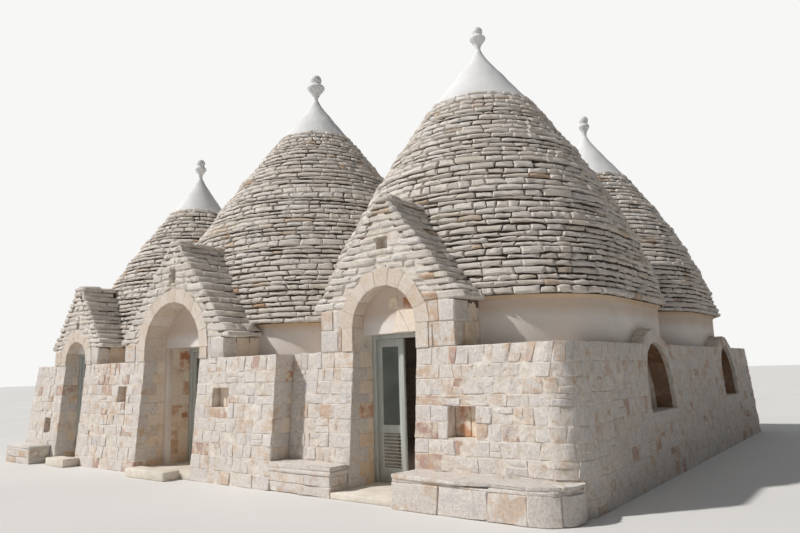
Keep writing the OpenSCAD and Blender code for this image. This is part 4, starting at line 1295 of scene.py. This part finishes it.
# Worn paving of the floors, the thresholds and the terrace
def worn_floor(grain):
    s = new_material("worn stone floor")
    g = s.grain(grain, 0.9)
    tone = s.ramp(g["Mottle"], [(0.3, (212, 202, 188)), (0.7, (234, 227, 216))])
    tone = s.dirt(tone, g, Speckle=(0.25, (186, 170, 150)))
    return s.surface(tone, 0.85, g["Height"], 0.006, 0.5, 0.3)


def studio_floor():
    deselect()
    bpy.ops.mesh.primitive_plane_add(size=400)
    floor = bpy.context.object
    floor.name = "studio_floor"
    s = new_material("pale studio floor")
    tone = s.ramp(s.noise(s.coords(), 0.2, 2.0), [(0.3, (214, 212, 209)), (0.7, (220, 218, 215))])
    floor.data.materials.append(s.surface(tone, 0.9))


# Pale sky, stronger on the left of the house, and plain white where it is looked at
def studio_sky():
    world = bpy.data.worlds.new("studio sky")
    world.use_nodes = True
    world.node_tree.nodes.clear()
    s = Sheet(world.node_tree)
    way = s.axis(s.add("ShaderNodeTexCoord").outputs["Generated"], 0)
    light = s.add("ShaderNodeBackground", {"Color": (0.88, 0.93, 1.0, 1),
                                           "Strength": s.range(way, -0.6, 0.9, 0.38, 0.085)})
    white = s.add("ShaderNodeBackground", {"Color": (0.93, 0.93, 0.92, 1), "Strength": 1.0})
    path = s.add("ShaderNodeLightPath").outputs
    seen = s.math("MAXIMUM", path["Is Camera Ray"],
                  s.math("MAXIMUM", path["Is Glossy Ray"], path["Is Transmission Ray"]))
    both = s.add("ShaderNodeMixShader", {0: seen, 1: light.outputs[0], 2: white.outputs[0]})
    s.add("ShaderNodeOutputWorld", {"Surface": both.outputs[0]})
    bpy.context.scene.world = world


# Soft sun from the front left, and a faint lamp in the room behind the open door
def studio_lamps():
    lamp = bpy.data.lights.new("sun", "SUN")
    lamp.energy, lamp.angle, lamp.color = 3.35, math.radians(2.5), (1.0, 0.978, 0.952)
    sun = linked("sun", lamp)
    sun.rotation_euler = Vector((-0.49, -0.52, 0.7)).to_track_quat("Z", "Y").to_euler()
    glow = bpy.data.lights.new("room_light", "POINT")
    glow.energy, glow.shadow_soft_size, glow.color = 12, 0.3, (1.0, 0.86, 0.74)
    linked("room_light", glow).location = (3.3, -2.4, 1.6)


# The photo's viewpoint: turn, tilt and roll in degrees, eye height as a person's
def studio_camera():
    eye = bpy.data.cameras.new("camera")
    eye.lens, eye.sensor_width, eye.clip_end = 29.2, 36, 800
    camera = linked("camera", eye)
    turn = Matrix.Identity(3)
    for angle, axis in ((37.22, "Z"), (99.08, "X"), (-1.62, "Z")):
        turn = turn @ Matrix.Rotation(math.radians(angle), 3, axis)
    camera.rotation_euler = turn.to_euler()
    camera.location = (8.88, -11.93, 1.62)
    bpy.context.scene.camera = camera
    bpy.context.scene.view_settings.view_transform = "Standard"


def paint_node(node, finish):
    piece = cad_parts[node]
    if not piece.data.materials:
        piece.data.materials.append(finish)
    for slot in piece.material_slots:
        slot.material = finish


grain = grain_group()
stone, slabs, dressed = wall_stone(grain), roof_stone(grain), dressed_stone(grain)
doorway = reveal_stone(grain, "smooth warm doorway blocks",
                       ((246, 236, 223), (240, 226, 209), (244, 234, 222), (234, 214, 188), (206, 156, 126),
                        (176, 110, 80)))
# Window niche blocks: brown stone, darkened further as painted shade of the deep recesses
shaded = reveal_stone(grain, "brown window niche blocks in painted shade",
                      ((150, 126, 108), (136, 108, 88), (156, 134, 118), (128, 94, 70), (122, 82, 58),
                       (104, 66, 46)))
# bed: near-black painted shade for the cone and porch roof solids, seen in the gaps between the slabs
bedding, bed, paint = mortar(grain), painted_gap_shade_bed(grain), painted_wood(grain)
# Drum plaster: painted bluish shade above 1.8 m, a warm band under the eaves at 2.4 m
drum_plaster = lime_plaster(grain, "drum plaster", ((224, 215, 208), (233, 226, 220)), 1.8, 2.4)
cove_plaster = lime_plaster(grain, "ochre eave plaster", ((198, 172, 142), (214, 192, 166)))
rough_plaster = lime_plaster(grain, "rough jamb plaster", ((206, 188, 172), (232, 224, 217)))
white_plaster = lime_plaster(grain, "white lime plaster", ((216, 216, 216), (230, 230, 229)))
paving, glass = worn_floor(grain), pane_glass()

# Materials of the solids, which show between the stones or stand by themselves
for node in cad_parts:
    # The cones and porch roofs take the near-black painted gap shade
    if node.startswith(("cone", "porch_roof")):
        paint_node(node, bed)
    elif "wall" in node or node.startswith(("benches", "porch")):
        paint_node(node, bedding)
    elif node.startswith(("drum", "tympanums", "caps", "finials", "arch")):
        paint_node(node, drum_plaster)
    elif node.startswith("door") or node == "window_frames":
        paint_node(node, paint)
    else:
        paint_node(node, glass if node == "window_glass" else paving)

# Stones, slabs and plaster laid over them
block = stone_shape(3, 3)
slab = stone_shape(4, 2)
corner_block = stone_shape(2, 2, whole=True)
east_side = outer_walls(stone, doorway, (block, corner_block))
for side, cone in zip(SIDES, CONES):
    roof_slabs("slabs_cone_" + side, cone, slabs, slab)
for side, porch in zip(SIDES, PORCHES):
    porch_stones("porch_" + side, porch, stone, doorway, slabs, (block, corner_block))
arch_stones(dressed, corner_block)
window_stones(east_side, stone, shaded, corner_block)
tympanum_stones(doorway, block)
niche_stones(doorway, block)
inner_jambs(doorway, rough_plaster, block)
eave_coves(cove_plaster, block)
bench_stones(stone, (block, corner_block))
copy_of("bench_mortar", "benches", bedding, shrink=0.03)
for side in SIDES:
    copy_of("plaster_drum_" + side, "drum_" + side, drum_plaster)
copy_of("door_frames_painted", "door_frames", paint, soft=0.004)
copy_of("worn_thresholds", "thresholds", paving, soft=0.012)
copy_of("worn_steps", "steps", paving, soft=0.014)
for node, body in (("door_right_leaf_left", "right_door_left_leaf"),
                   ("door_right_leaf_right", "right_door_right_leaf"),
                   ("door_centre_leaf_left", "centre_door_left_leaf"),
                   ("door_centre_leaf_right", "centre_door_right_leaf"),
                   ("door_left_leaf", "left_door_leaf")):
    door_leaf(node, body, paint, glass)
caps_and_finials(white_plaster)
studio_floor()
studio_sky()
studio_lamps()
studio_camera()
